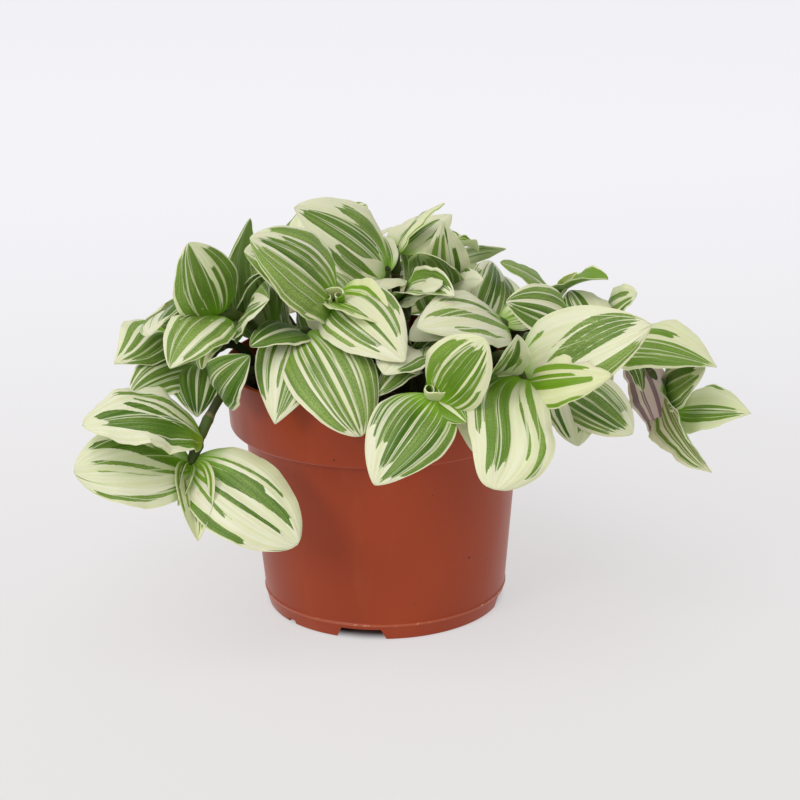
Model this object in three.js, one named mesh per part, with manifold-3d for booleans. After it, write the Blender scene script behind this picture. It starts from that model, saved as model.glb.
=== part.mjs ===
// Potted tradescantia: a 12 cm nursery pot, its soil, and the striped leafy shoots rooted in it.
// Millimetres, +Z up. The origin is on the pot's axis at the floor, and -Y is the front.

import * as THREE from 'three';
import { mergeVertices } from 'three/addons/utils/BufferGeometryUtils.js';
import Module from 'manifold-3d';

const wasm = await Module();
wasm.setup();

// Pot
const RIM_RADIUS = 60;
const POT_HEIGHT = 97;
const BAND_FOOT_RADIUS = 58.5;    // lower edge of the rim band
const BAND_FOOT_HEIGHT = 72.8;
const NECK_RADIUS = 53;           // top of the tapered body, under the band
const RIDGE_RADIUS = 47.1;        // body at the raised line above the foot
const RIDGE_HEIGHT = 6.1;
const RIDGE_PROUD = 0.5;
const RIDGE_HALF = 0.8;           // half the height of the raised line
const FOOT_RADIUS = 45.9;
const POT_WALL = 1.2;
const RIM_BEVEL = 0.4;
const STEP_SLOPE = 1;             // the step under the band falls by this much
const CHANNEL_HEIGHT = 5;         // underside of the ring-shaped drain channel
const CHANNEL_INNER_RADIUS = 30;
const DISC_RADIUS = 27;           // middle of the base, flat on the floor
const POT_SIDES = 32;

// Cuts in the foot, a quarter turn apart, and round holes in the channel above it
const NOTCH = { count: 4, first: -101.4, top: 15.3, floor: 20, height: 4.3 };
const VENT = { count: 1, first: -141, top: 4, floor: 5, height: 1.5 };
const CUT_TURN = 90;
const CUT_DEPTH = 8;
const DRAIN = { count: 8, radius: 3.5, circle: 37, depth: 4, sides: 8 };

// Soil
const SOIL_TOP = 85;
const SOIL_CROWN = 2;             // the middle is this much higher than the edge
const SOIL_SHOULDER = 30;         // radius inside which the soil is nearly level
const GAP = 0.3;                  // left between neighbouring pieces

// Shoots
const STEM_RADIUS = 2;
const STEM_DEPTH = 12;            // how deep a stem stands in the soil
const STEM_SIDES = 5;
const STEM_STEP = 16;             // length of one straight piece of a stem
const STEM_POINTS = 64;           // points that the places along a stem are measured on
const BLADE_THICKNESS = 0.7;
const BLADE_ROOT = 1.4;           // half width where the blade leaves the stem's axis
const BLADE_FOLD = 0.3;           // rise of the halves from the midrib, as a share of half the width
const BLADE_CURL = -50;           // the margins of a grown leaf turn down
const WIDEST = 0.44;              // place of the greatest width along the blade
const ROUNDNESS = 0.46;           // how fully the outline swells beyond its root
const BROAD_FROM = 15;            // a listed leaf wider than this is built finer
const BROAD_BLADE = { columns: 4, stations: [0, 0.14, 0.4, 0.76] };
const NARROW_BLADE = { columns: 2, stations: [0, 0.2, 0.65] };
const DOME_CENTRE = new THREE.Vector3(0, 0, 40);   // grown leaves face away from here
const SIMPLIFY = 0.1;             // how far a fused surface may move when slivers are taken out
const CLEARANCE = 0.45;           // kept free on every side of a leaf
const OWN_SHOOT_FROM = 0.4;       // nearer its root a leaf may touch the leaves of its own shoot
const SEED = 20817;

// Leaves set by rule, counted back from the tip: they grow and open with age, in two ranks
const RULED = {
  firstBack: 2, backGrowth: 1.7, leastRise: 10,
  length: 46, lengthStart: 0.6, lengthSteps: 1.6, lengthLeast: 0.9, lengthSpread: 0.2,
  open: 18, openGrowth: 58, openSteps: 1.4, openSpread: 12,
  rank: 18, rankSpread: 36, width: 0.68, droop: 35, droopSpread: 30, rollSpread: 30,
  budWidth: 0.45, budCurl: 110,
};

// Each shoot stands in the soil at foot, rises towards height rise and bends through bend to its tip.
// Its leaves are listed from what shows in front. Those in rest are the older ones, set by rule.
// A leaf: distance from the tip, heading, rise, length and width, droop, roll about its length, curl.
const SHOOTS = {
  hanging_left: {
    foot: [-38, -22], rise: 115, bend: [-58, -36, 108], tip: [-70, -52, 72], rest: [],
    leaves: [
      [2, 211, 7, 46, 38, 40, -30],
      [3, 330, -29, 51, 38, 40, -41],
      [13, 212, 15, 48, 34, 80, -20],
      [2, 279, -50, 30, 17, 40, -58, 60],
      [1, 256, -34, 18, 9, 20, -63, 120],
      [30, 300, 41, 32, 22, 90, 46],
    ],
  },
  left_front: {
    foot: [-40, -10], rise: 110, bend: [-50, -18, 126], tip: [-62, -25, 120], rest: [3, 4, 5],
    leaves: [
      [2, 245, 62, 37, 30, 35, 140],
      [4, 249, -32, 38, 28, 60, -38],
      [1, 221, 4, 18, 10, 20, -70, 110],
    ],
  },
  left_far: {
    foot: [-42, 8], rise: 120, bend: [-68, 5, 124], tip: [-82, 4, 105], rest: [3, 4, 5],
    leaves: [
      [2, 234, -7, 32, 29, 60, -69],
    ],
  },
  left_low: {
    foot: [-45, -1], rise: 108, bend: [-62, -3, 112], tip: [-70, -4, 92], rest: [2],
    leaves: [
      [2, 229, 0, 36, 28, 60, -66],
      [4, 276, -16, 34, 26, 80, -60],
    ],
  },
  left_upright: {
    foot: [-32, 4], rise: 106, bend: [-48, 4, 116], tip: [-58, -2, 108], rest: [1, 3, 4],
    leaves: [
      [5, 299, 73, 47, 30, 40, -6],
      [2, 80, 56, 34, 20, 40, -26],
    ],
  },
  centre_main: {
    foot: [-12, -14], rise: 116, bend: [-14, -18, 130], tip: [-17, -28, 127], rest: [4, 5],
    leaves: [
      [2, 218, 39, 47, 36, 50, -57],
      [9, 212, 33, 47, 40, 55, -38],
      [3, 307, -19, 44, 34, 50, 11],
      [2, 316, -10, 28, 21, 40, 1, 20],
      [1, 264, 48, 10, 8, 0, 173, 130],
    ],
  },
  centre_left: {
    foot: [-24, -20], rise: 106, bend: [-26, -27, 120], tip: [-28, -36, 117], rest: [],
    leaves: [
      [2, 300, -34, 50, 37, 60, 3],
      [4, 252, -36, 42, 32, 60, -20],
      [9, 231, 6, 32, 20, 60, -19],
    ],
  },
  crown_front: {
    foot: [-1, 4], rise: 100, bend: [0, 5, 122], tip: [3, 3, 132], rest: [3, 4, 5, 6],
    leaves: [
      [2, 213, 33, 48, 36, 60, -57],
      [4, 100, 20, 26, 20, 60, -37],
      [8, 262, 8, 28, 24, 60, 3],
    ],
  },
  crown_back: {
    foot: [-10, 24], rise: 105, bend: [-11, 30, 130], tip: [-11, 39, 140], rest: [3, 4, 5],
    leaves: [
      [2, 241, 41, 22, 15, 40, -114],
      [3, 296, 43, 20, 15, 40, 110],
    ],
  },
  crown_right: {
    foot: [10, -10], rise: 104, bend: [9, -8, 118], tip: [8, -6, 124], rest: [3, 4, 5],
    leaves: [
      [2, 313, 38, 32, 18, 60, 44, 20],
      [3, 305, 24, 28, 22, 40, 35],
    ],
  },
  crown_far: {
    foot: [6, 18], rise: 105, bend: [6, 16, 128], tip: [6, 14, 137], rest: [1, 2, 4, 5],
    leaves: [
      [2, 52, 14, 34, 24, 30, 17],
    ],
  },
  right_upright: {
    foot: [20, 10], rise: 104, bend: [24, 11, 118], tip: [27, 11, 124], rest: [2, 3, 4, 5],
    leaves: [
      [2, 262, 64, 32, 20, 30, -145],
      [4, 303, 20, 26, 16, 30, 73],
    ],
  },
  right_middle: {
    foot: [36, 6], rise: 106, bend: [58, 4, 114], tip: [69, 4, 100], rest: [1, 2],
    leaves: [
      [3, 293, 2, 36, 29, 50, 71],
    ],
  },
  centre_right: {
    foot: [30, -6], rise: 106, bend: [40, -10, 120], tip: [48, -14, 112], rest: [1, 3, 4],
    leaves: [
      [2, 218, 15, 46, 33, 60, -5],
      [12, 226, 5, 40, 26, 60, 4],
    ],
  },
  centre_low: {
    foot: [8, -26], rise: 102, bend: [12, -30, 112], tip: [16, -34, 108], rest: [],
    leaves: [
      [3, 247, 6, 32, 25, 60, -10],
      [2, 242, -21, 32, 22, 60, -1],
      [6, 290, -10, 24, 18, 60, 27],
    ],
  },
  front: {
    foot: [14, -38], rise: 112, bend: [18, -52, 112], tip: [20, -62, 98], rest: [],
    leaves: [
      [2, 312, 47, 38, 30, 35, 7],
      [3, 235, -29, 44, 34, 45, 11],
      [2, 309, -15, 17, 13, 40, 14],
      [1, 268, 41, 10, 8, 0, -103, 130],
    ],
  },
  front_right: {
    foot: [36, -24], rise: 112, bend: [47, -42, 116], tip: [53, -52, 101], rest: [],
    leaves: [
      [6, 338, 25, 53, 37, 45, 29],
      [2, 326, 13, 36, 26, 50, 43],
      [4, 249, -30, 53, 36, 50, 27],
      [1, 338, -43, 12, 8, 0, 48, 130],
    ],
  },
  front_between: {
    foot: [26, -32], rise: 106, bend: [34, -42, 112], tip: [38, -48, 102], rest: [],
    leaves: [
      [2, 293, 43, 32, 20, 40, -114, 10],
      [3, 261, -34, 30, 24, 50, 37],
      [9, 273, -61, 36, 24, 50, 14],
    ],
  },
  right_low: {
    foot: [42, -12], rise: 108, bend: [62, -20, 108], tip: [70, -25, 88], rest: [3],
    leaves: [
      [2, 275, -27, 28, 23, 60, 51],
      [4, 311, -16, 36, 27, 50, 62],
    ],
  },
  right_far: {
    foot: [46, 0], rise: 122, bend: [94, -6, 118], tip: [114, -8, 75], rest: [1],
    leaves: [
      [2, 321, 8, 32, 26, 40, 108],
      [14, 298, -38, 42, 24, 30, 149, 20],
      [12, 294, 29, 32, 28, 50, 156],
      [36, 313, 1, 46, 32, 60, 75],
      [30, 309, -63, 38, 22, 50, -67],
      [40, 296, -35, 26, 16, 50, 20],
      [56, 216, 26, 36, 29, 50, -29],
      [46, 107, 8, 30, 22, 50, -53],
    ],
  },
  right_back: {
    foot: [38, 20], rise: 110, bend: [60, 26, 121], tip: [70, 25, 111], rest: [4, 5],
    leaves: [
      [2, 217, 34, 34, 20, 30, -18],
      [2, 313, 8, 30, 18, 40, 61, 10],
      [1, 326, 55, 15, 9, 10, 161, 110],
    ],
  },
  right_back_far: {
    foot: [44, 12], rise: 110, bend: [76, 16, 120], tip: [89, 20, 106], rest: [2, 3, 4, 5],
    leaves: [
      [2, 300, 32, 24, 18, 40, 126],
    ],
  },
};

// The far side: an outer ring of shoots that hang over the rim and an inner ring that stands up.
// Angles in plan run from and to; tip is the radius of the tips and height their height.
const OUTER_RING = { name: 'back_outer', count: 7, from: 44, to: 152, foot: 42, tip: 88, height: 92 };
const INNER_RING = { name: 'back_inner', count: 5, from: 58, to: 156, foot: 30, tip: 54, height: 119 };
const RING_LEAVES = [0, 1, 2, 3, 4, 5, 6];
const RING_STEM = { rise: 24, arch: 9, bendAt: 0.8, angleSpread: 6, least: 0.92, spread: 0.16 };

// Where a leaf would cross something, it is lifted, swung or rolled, or it grows smaller
const CLEARING_STEPS = [0, 5, -5, 10, -10, 17, -17, 25, -25];
const CLEARING_ROLLS = [0, 15, -15];
const CLEARING_SIZES = [1, 0.85, 0.7];

const MATERIALS = {
  pot: new THREE.MeshStandardMaterial({ color: 0x96402a, roughness: 0.45, metalness: 0 }),
  soil: new THREE.MeshStandardMaterial({ color: 0x2e2419, roughness: 0.95, metalness: 0 }),
  foliage: new THREE.MeshStandardMaterial({ color: 0x8fae63, roughness: 0.5, metalness: 0 }),
};

const radians = THREE.MathUtils.degToRad;

// Solids

function solidFrom(geometry) {
  geometry.deleteAttribute('normal');
  geometry.deleteAttribute('uv');
  const merged = mergeVertices(geometry, 1e-4);
  return new wasm.Manifold(new wasm.Mesh({
    numProp: 3,
    vertProperties: new Float32Array(merged.attributes.position.array),
    triVerts: new Uint32Array(merged.index.array),
  }));
}

function geometryFrom(solid) {
  const mesh = solid.getMesh();
  const geometry = new THREE.BufferGeometry();
  geometry.setAttribute('position', new THREE.BufferAttribute(mesh.vertProperties, 3));
  geometry.setIndex(new THREE.BufferAttribute(mesh.triVerts, 1));
  geometry.computeVertexNormals();
  return geometry;
}

// The largest body of a fused solid, without loose scraps and slivers
function largestBody(solid) {
  const bodies = solid.asOriginal().simplify(SIMPLIFY).decompose();
  return bodies.sort((a, b) => b.volume() - a.volume())[0];
}

function lathe(profile) {
  const points = profile.map(([radius, height]) => new THREE.Vector2(radius, height));
  const geometry = new THREE.LatheGeometry(points, POT_SIDES);
  geometry.rotateX(Math.PI / 2);
  return solidFrom(geometry);
}

// A trapezoid cutter that points outwards from the axis at an angle in plan
function footCutter(cut, angle) {
  const outline = new THREE.Shape([
    new THREE.Vector2(-cut.floor / 2, -1),
    new THREE.Vector2(cut.floor / 2, -1),
    new THREE.Vector2(cut.top / 2, cut.height),
    new THREE.Vector2(-cut.top / 2, cut.height),
  ]);
  const geometry = new THREE.ExtrudeGeometry(outline, { depth: CUT_DEPTH, bevelEnabled: false });
  geometry.rotateX(Math.PI / 2);
  geometry.translate(0, -(FOOT_RADIUS - CUT_DEPTH / 2), 0);
  geometry.rotateZ(radians(angle + 90));
  return solidFrom(geometry);
}

// Pot and soil

function bodyRadius(height) {
  const share = (height - RIDGE_HEIGHT) / (BAND_FOOT_HEIGHT - RIDGE_HEIGHT);
  return THREE.MathUtils.lerp(RIDGE_RADIUS, NECK_RADIUS, share);
}

function bandRadius(height) {
  const share = (height - BAND_FOOT_HEIGHT) / (POT_HEIGHT - BAND_FOOT_HEIGHT);
  return THREE.MathUtils.lerp(BAND_FOOT_RADIUS, RIM_RADIUS, share);
}

function potSolid() {
  const ledge = BAND_FOOT_HEIGHT + POT_WALL;
  const floorTop = CHANNEL_HEIGHT + POT_WALL;
  let pot = lathe([
    [0, 0],
    [DISC_RADIUS, 0],
    [CHANNEL_INNER_RADIUS, CHANNEL_HEIGHT],
    [FOOT_RADIUS - POT_WALL, CHANNEL_HEIGHT],
    [FOOT_RADIUS - POT_WALL, 0],
    [FOOT_RADIUS, 0],
    [RIDGE_RADIUS, RIDGE_HEIGHT - RIDGE_HALF],
    [RIDGE_RADIUS + RIDGE_PROUD, RIDGE_HEIGHT],
    [RIDGE_RADIUS, RIDGE_HEIGHT + RIDGE_HALF],
    [NECK_RADIUS, BAND_FOOT_HEIGHT - STEP_SLOPE],
    [BAND_FOOT_RADIUS, BAND_FOOT_HEIGHT],
    [RIM_RADIUS, POT_HEIGHT - RIM_BEVEL],
    [RIM_RADIUS - RIM_BEVEL, POT_HEIGHT],
    [RIM_RADIUS - POT_WALL, POT_HEIGHT],
    [bandRadius(ledge) - POT_WALL, ledge],
    [NECK_RADIUS - POT_WALL, ledge - STEP_SLOPE],
    [bodyRadius(floorTop) - POT_WALL, floorTop],
    [CHANNEL_INNER_RADIUS - POT_WALL / 2, floorTop],
    [DISC_RADIUS - POT_WALL / 2, POT_WALL],
    [0, POT_WALL],
  ]);
  for (const cut of [NOTCH, VENT]) {
    for (let i = 0; i < cut.count; i += 1) {
      pot = pot.subtract(footCutter(cut, cut.first + i * CUT_TURN));
    }
  }
  for (let i = 0; i < DRAIN.count; i += 1) {
    const angle = radians((i * 360) / DRAIN.count);
    const hole = new THREE.CylinderGeometry(DRAIN.radius, DRAIN.radius, DRAIN.depth, DRAIN.sides);
    hole.rotateX(Math.PI / 2);
    hole.translate(
      DRAIN.circle * Math.cos(angle), DRAIN.circle * Math.sin(angle), CHANNEL_HEIGHT + POT_WALL / 2,
    );
    pot = pot.subtract(solidFrom(hole));
  }
  return pot;
}

function soilSolid(stems) {
  const ledge = BAND_FOOT_HEIGHT + POT_WALL;
  const floorTop = CHANNEL_HEIGHT + POT_WALL;
  const wall = POT_WALL + GAP;
  let soil = lathe([
    [0, POT_WALL + GAP],
    [DISC_RADIUS - wall, POT_WALL + GAP],
    [CHANNEL_INNER_RADIUS - wall, floorTop + GAP],
    [bodyRadius(floorTop) - wall, floorTop + GAP],
    [NECK_RADIUS - wall, ledge - STEP_SLOPE + GAP],
    [bandRadius(ledge) - wall - GAP, ledge + GAP],
    [bandRadius(SOIL_TOP) - wall - GAP, SOIL_TOP],
    [SOIL_SHOULDER, SOIL_TOP + SOIL_CROWN / 2],
    [0, SOIL_TOP + SOIL_CROWN],
  ]);
  for (const stem of stems) {
    soil = soil.subtract(stemSolid(stem, STEM_RADIUS + GAP, GAP));
  }
  return soil;
}

// Stems

function stemCurve(shoot, deeper = 0) {
  const [x, y] = shoot.foot;
  return new THREE.CubicBezierCurve3(
    new THREE.Vector3(x, y, SOIL_TOP - STEM_DEPTH - deeper),
    new THREE.Vector3(x, y, shoot.rise),
    new THREE.Vector3(...shoot.bend),
    new THREE.Vector3(...shoot.tip),
  );
}

function stemSolid(shoot, radius, deeper = 0) {
  const section = new THREE.Shape();
  for (let i = 0; i < STEM_SIDES; i += 1) {
    const angle = (i * 2 * Math.PI) / STEM_SIDES;
    const point = [radius * Math.cos(angle), radius * Math.sin(angle)];
    if (i === 0) {
      section.moveTo(...point);
    } else {
      section.lineTo(...point);
    }
  }
  const steps = Math.max(4, Math.round(stemCurve(shoot).getLength() / STEM_STEP));
  const extrudePath = stemCurve(shoot, deeper);
  return solidFrom(new THREE.ExtrudeGeometry(section, { steps, extrudePath, bevelEnabled: false }));
}

// The place and the direction of a stem, a distance back from its tip
function stemNode(shoot, back) {
  const points = stemCurve(shoot).getPoints(STEM_POINTS).reverse();
  let left = back;
  for (let i = 1; i < points.length; i += 1) {
    const along = points[i - 1].clone().sub(points[i]);
    const length = along.length();
    if (left <= length || i === points.length - 1) {
      along.normalize();
      return { place: points[i - 1].clone().addScaledVector(along, -left), along };
    }
    left -= length;
  }
  return null;
}

// Leaves

// Park and Miller's random numbers, the same on every machine
function randomFrom(seed) {
  let state = seed;
  return () => {
    state = (state * 16807) % 2147483647;
    return state / 2147483647;
  };
}

function direction(heading, rise) {
  const flat = Math.cos(radians(rise));
  return new THREE.Vector3(
    flat * Math.cos(radians(heading)), flat * Math.sin(radians(heading)), Math.sin(radians(rise)),
  );
}

// The index-th leaf back from the tip
function leafByRule(shoot, index, random) {
  const back = RULED.firstBack + RULED.backGrowth * index * index;
  const node = stemNode(shoot, back);
  const grown = 1 - Math.exp(-(index + RULED.lengthStart) / RULED.lengthSteps);
  const length = RULED.length * grown * (RULED.lengthLeast + RULED.lengthSpread * random());
  const opened = RULED.openGrowth * (1 - Math.exp(-index / RULED.openSteps));
  const open = radians(RULED.open + opened + RULED.openSpread * (random() - 0.5));
  const rank = index % 2 === 0 ? RULED.rank : 180 - RULED.rank;
  const spin = radians(rank + RULED.rankSpread * (random() - 0.5));
  const side = new THREE.Vector3().crossVectors(node.along, new THREE.Vector3(0, 0, 1)).normalize();
  const lift = new THREE.Vector3().crossVectors(side, node.along);
  const aim = node.along.clone().multiplyScalar(Math.cos(open))
    .addScaledVector(side, Math.cos(spin) * Math.sin(open))
    .addScaledVector(lift, Math.sin(spin) * Math.sin(open));
  return {
    back,
    heading: THREE.MathUtils.radToDeg(Math.atan2(aim.y, aim.x)),
    rise: THREE.MathUtils.radToDeg(Math.asin(aim.z)),
    length,
    width: length * (index === 0 ? RULED.budWidth : RULED.width),
    droop: RULED.droop + RULED.droopSpread * random(),
    roll: RULED.rollSpread * (random() - 0.5),
    curl: index === 0 ? RULED.budCurl : BLADE_CURL,
    shape: NARROW_BLADE,
    byRule: true,
    index,
  };
}

function leafFromRow([back, heading, rise, length, width, droop, roll, curl = BLADE_CURL]) {
  const shape = width > BROAD_FROM ? BROAD_BLADE : NARROW_BLADE;
  return { back, heading, rise, length, width, droop, roll, curl, shape, byRule: false };
}

function shootLeaves(shoot, random) {
  const listed = shoot.leaves.map(leafFromRow);
  const ruled = shoot.rest.map((index) => leafByRule(shoot, index, random))
    .filter((leaf) => stemNode(shoot, leaf.back).place.z > SOIL_TOP + RULED.leastRise);
  return { listed, ruled };
}

// Half width of a blade at a share of its length: round at the stem, pointed at the tip
function halfWidth(leaf, along) {
  const fall = (ROUNDNESS * (1 - WIDEST)) / WIDEST;
  const outline = (along / WIDEST) ** ROUNDNESS * ((1 - along) / (1 - WIDEST)) ** fall;
  return Math.max(BLADE_ROOT * (1 - along), (leaf.width / 2) * outline);
}

// The axes of a leaf: its root, first direction, first upward normal and sideways direction
function leafAxes(shoot, leaf) {
  const root = stemNode(shoot, leaf.back).place;
  const chord = direction(leaf.heading, leaf.rise);
  const out = root.clone().addScaledVector(chord, leaf.length / 2).sub(DOME_CENTRE);
  const up = out.addScaledVector(chord, -out.dot(chord)).normalize();
  up.applyAxisAngle(chord, radians(leaf.roll));
  const side = new THREE.Vector3().crossVectors(chord, up);
  const half = radians(leaf.droop / 2);
  const start = chord.clone().multiplyScalar(Math.cos(half)).addScaledVector(up, Math.sin(half));
  const normal = up.clone().multiplyScalar(Math.cos(half)).addScaledVector(chord, -Math.sin(half));
  return { root, start, normal, side };
}

// A point of a blade: along runs 0 to 1 from root to tip, across runs -1 to 1, above is off its face
function bladePoint(leaf, axes, along, across, above, grow) {
  const bend = radians(Math.max(leaf.droop, 1));
  const arc = leaf.length * (bend / 2) / Math.sin(bend / 2);
  const turn = bend * along;
  const half = halfWidth(leaf, along) + grow;
  const curl = radians(leaf.curl);
  const sideways = (half / curl) * Math.sin(curl * across);
  const height = (half / curl) * (1 - Math.cos(curl * across)) + half * BLADE_FOLD * Math.abs(across);
  const tilt = curl * across;
  const forward = axes.start.clone().multiplyScalar(Math.cos(turn))
    .addScaledVector(axes.normal, -Math.sin(turn));
  const upward = axes.start.clone().multiplyScalar(Math.sin(turn))
    .addScaledVector(axes.normal, Math.cos(turn));
  return axes.root.clone()
    .addScaledVector(axes.start, (arc * Math.sin(turn)) / bend)
    .addScaledVector(axes.normal, (-arc * (1 - Math.cos(turn))) / bend)
    .addScaledVector(axes.side, sideways - above * Math.sin(tilt))
    .addScaledVector(upward, height + above * Math.cos(tilt))
    .addScaledVector(forward, grow * along);
}

// A blade as a closed solid with a cut edge; both faces are split into triangles alike
function bladeSolid(shoot, leaf, { thickness = BLADE_THICKNESS, grow = 0, from = 0 } = {}) {
  const axes = leafAxes(shoot, leaf);
  const { columns, stations } = leaf.shape;
  const rows = stations.map((share) => from + (1 - from) * share);
  const face = rows.length * (columns + 1) + 1;
  const points = [];
  for (const above of [thickness / 2, -thickness / 2]) {
    for (const along of rows) {
      for (let i = 0; i <= columns; i += 1) {
        points.push(bladePoint(leaf, axes, along, (2 * i) / columns - 1, above, grow));
      }
    }
    points.push(bladePoint(leaf, axes, 1, 0, above, grow));
  }
  const index = [];
  const quad = (a, b, c, d) => index.push(a, b, c, a, c, d);
  const tip = face - 1;
  for (let row = 0; row < rows.length; row += 1) {
    for (let i = 0; i < columns; i += 1) {
      const a = row * (columns + 1) + i;
      const b = a + 1;
      const c = b + columns + 1;
      const d = a + columns + 1;
      if (row < rows.length - 1) {
        quad(a, b, c, d);
        index.push(face + a, face + c, face + b, face + a, face + d, face + c);
      } else {
        index.push(a, b, tip, face + a, face + tip, face + b);
      }
    }
  }
  const rim = [];
  for (let i = 0; i <= columns; i += 1) {
    rim.push(i);
  }
  for (let row = 1; row < rows.length; row += 1) {
    rim.push(row * (columns + 1) + columns);
  }
  rim.push(tip);
  for (let row = rows.length - 1; row > 0; row -= 1) {
    rim.push(row * (columns + 1));
  }
  rim.forEach((a, i) => {
    const b = rim[(i + 1) % rim.length];
    quad(a, face + a, face + b, b);
  });
  const geometry = new THREE.BufferGeometry();
  const flat = points.flatMap((point) => point.toArray());
  geometry.setAttribute('position', new THREE.Float32BufferAttribute(flat, 3));
  geometry.setIndex(index);
  return solidFrom(geometry);
}

// Shoots on the far side, spread evenly in plan with seeded unevenness
function ringShoots({ name, count, from, to, foot, tip, height }, random) {
  const rise = SOIL_TOP + RING_STEM.rise;
  const varied = () => RING_STEM.least + RING_STEM.spread * random();
  const shoots = [];
  for (let i = 0; i < count; i += 1) {
    const even = from + ((to - from) * i) / (count - 1);
    const angle = radians(even + RING_STEM.angleSpread * (random() - 0.5));
    const reach = tip * varied();
    const end = height * varied();
    const at = (radius) => [radius * Math.cos(angle), radius * Math.sin(angle)];
    shoots.push([`${name}_${i + 1}`, {
      foot: at(foot),
      rise,
      bend: [...at(RING_STEM.bendAt * reach), Math.max(end, rise) + RING_STEM.arch],
      tip: [...at(reach), end],
      rest: RING_LEAVES,
      leaves: [],
    }]);
  }
  return shoots;
}

// Fitting the leaves in

function asPiece(owner, solid) {
  const { min, max } = solid.boundingBox();
  return { owner, solid, box: new THREE.Box3(new THREE.Vector3(...min), new THREE.Vector3(...max)) };
}

function crossesAny(piece, others) {
  return others.some((other) => {
    if (!piece.box.intersectsBox(other.box)) {
      return false;
    }
    const shared = piece.solid.intersect(other.solid);
    const crosses = !shared.isEmpty();
    shared.delete();
    return crosses;
  });
}

// A leaf keeps clear of all the other shoots, and the outer part of a leaf by rule of its own shoot
function isClear(name, shoot, leaf, placed) {
  const margin = { thickness: BLADE_THICKNESS + 2 * CLEARANCE, grow: CLEARANCE };
  const whole = asPiece(name, bladeSolid(shoot, leaf, margin));
  const outer = asPiece(name, bladeSolid(shoot, leaf, { ...margin, from: OWN_SHOOT_FROM }));
  const crosses = crossesAny(whole, placed.filter((piece) => piece.owner !== name))
    || (leaf.byRule && crossesAny(outer, placed.filter((piece) => piece.owner === name)));
  whole.solid.delete();
  outer.solid.delete();
  return !crosses;
}

// Every lift, swing and roll that may clear a leaf, the smallest change first
const CLEARING_TURNS = CLEARING_ROLLS.flatMap((roll) => CLEARING_STEPS.flatMap((lift) => (
  CLEARING_STEPS.map((swing) => ({ lift, swing, roll }))
))).sort((a, b) => Math.hypot(a.lift, a.swing, a.roll) - Math.hypot(b.lift, b.swing, b.roll));

function clearedLeaf(name, shoot, leaf, placed) {
  for (const size of CLEARING_SIZES) {
    for (const { lift, swing, roll } of CLEARING_TURNS) {
      const tried = {
        ...leaf,
        heading: leaf.heading + swing,
        rise: leaf.rise + lift,
        roll: leaf.roll + roll,
        length: leaf.length * size,
        width: leaf.width * size,
      };
      if (isClear(name, shoot, tried, placed)) {
        return tried;
      }
    }
  }
  return null;
}

// Assembly

const random = randomFrom(SEED);
const shoots = [
  ...Object.entries(SHOOTS),
  ...ringShoots(OUTER_RING, random),
  ...ringShoots(INNER_RING, random),
];
const stems = new Map(shoots.map(([name, shoot]) => [name, stemSolid(shoot, STEM_RADIUS)]));
const pot = potSolid();
const soil = soilSolid(shoots.map(([, shoot]) => shoot));
const placed = [asPiece('pot', pot), asPiece('soil', soil)];
for (const [name, stem] of stems) {
  placed.push(asPiece(name, stem));
}
const wanted = shoots.map(([name, shoot]) => ({ name, shoot, ...shootLeaves(shoot, random) }));
const listed = wanted.flatMap(({ name, shoot, listed: leaves }) => (
  leaves.map((leaf) => ({ name, shoot, leaf }))
));
const ruled = wanted.flatMap(({ name, shoot, ruled: leaves }) => (
  leaves.map((leaf) => ({ name, shoot, leaf }))
)).sort((a, b) => a.leaf.index - b.leaf.index);
for (const { name, shoot, leaf } of [...listed, ...ruled]) {
  const cleared = clearedLeaf(name, shoot, leaf, placed);
  if (cleared) {
    placed.push(asPiece(name, bladeSolid(shoot, cleared)));
  }
}

const plant = new THREE.Group();

function addPiece(name, solid, material) {
  const mesh = new THREE.Mesh(geometryFrom(solid), material);
  mesh.name = name;
  plant.add(mesh);
}

addPiece('pot', pot, MATERIALS.pot);
addPiece('soil', largestBody(soil), MATERIALS.soil);
for (const [name] of shoots) {
  const parts = placed.filter((piece) => piece.owner === name).map((piece) => piece.solid);
  const fused = parts.reduce((whole, part) => whole.add(part));
  addPiece(`shoot_${name}`, largestBody(fused), MATERIALS.foliage);
}

export default plant;
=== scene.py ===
"""Potted tradescantia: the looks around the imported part.

Plant and pot are worked out in millimetres, as in the part's own source, and turned into metres
when a mesh is made. The front is -Y and +Z is up.
"""

import math
import random
from itertools import product

import bmesh
import bpy
import numpy as np
from mathutils import Matrix, Vector, kdtree


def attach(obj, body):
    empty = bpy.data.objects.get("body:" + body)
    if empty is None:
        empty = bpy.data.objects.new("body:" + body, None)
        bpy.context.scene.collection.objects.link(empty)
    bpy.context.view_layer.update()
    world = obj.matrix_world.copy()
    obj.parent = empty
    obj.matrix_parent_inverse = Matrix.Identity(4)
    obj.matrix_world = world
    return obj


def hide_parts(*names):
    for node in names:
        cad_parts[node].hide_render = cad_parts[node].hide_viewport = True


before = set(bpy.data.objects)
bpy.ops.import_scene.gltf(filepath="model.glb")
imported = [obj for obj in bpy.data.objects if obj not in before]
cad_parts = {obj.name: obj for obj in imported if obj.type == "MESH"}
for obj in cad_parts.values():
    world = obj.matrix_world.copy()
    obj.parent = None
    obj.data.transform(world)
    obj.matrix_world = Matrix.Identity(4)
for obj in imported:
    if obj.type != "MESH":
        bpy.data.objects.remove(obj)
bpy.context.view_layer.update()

MM = 0.001

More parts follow.
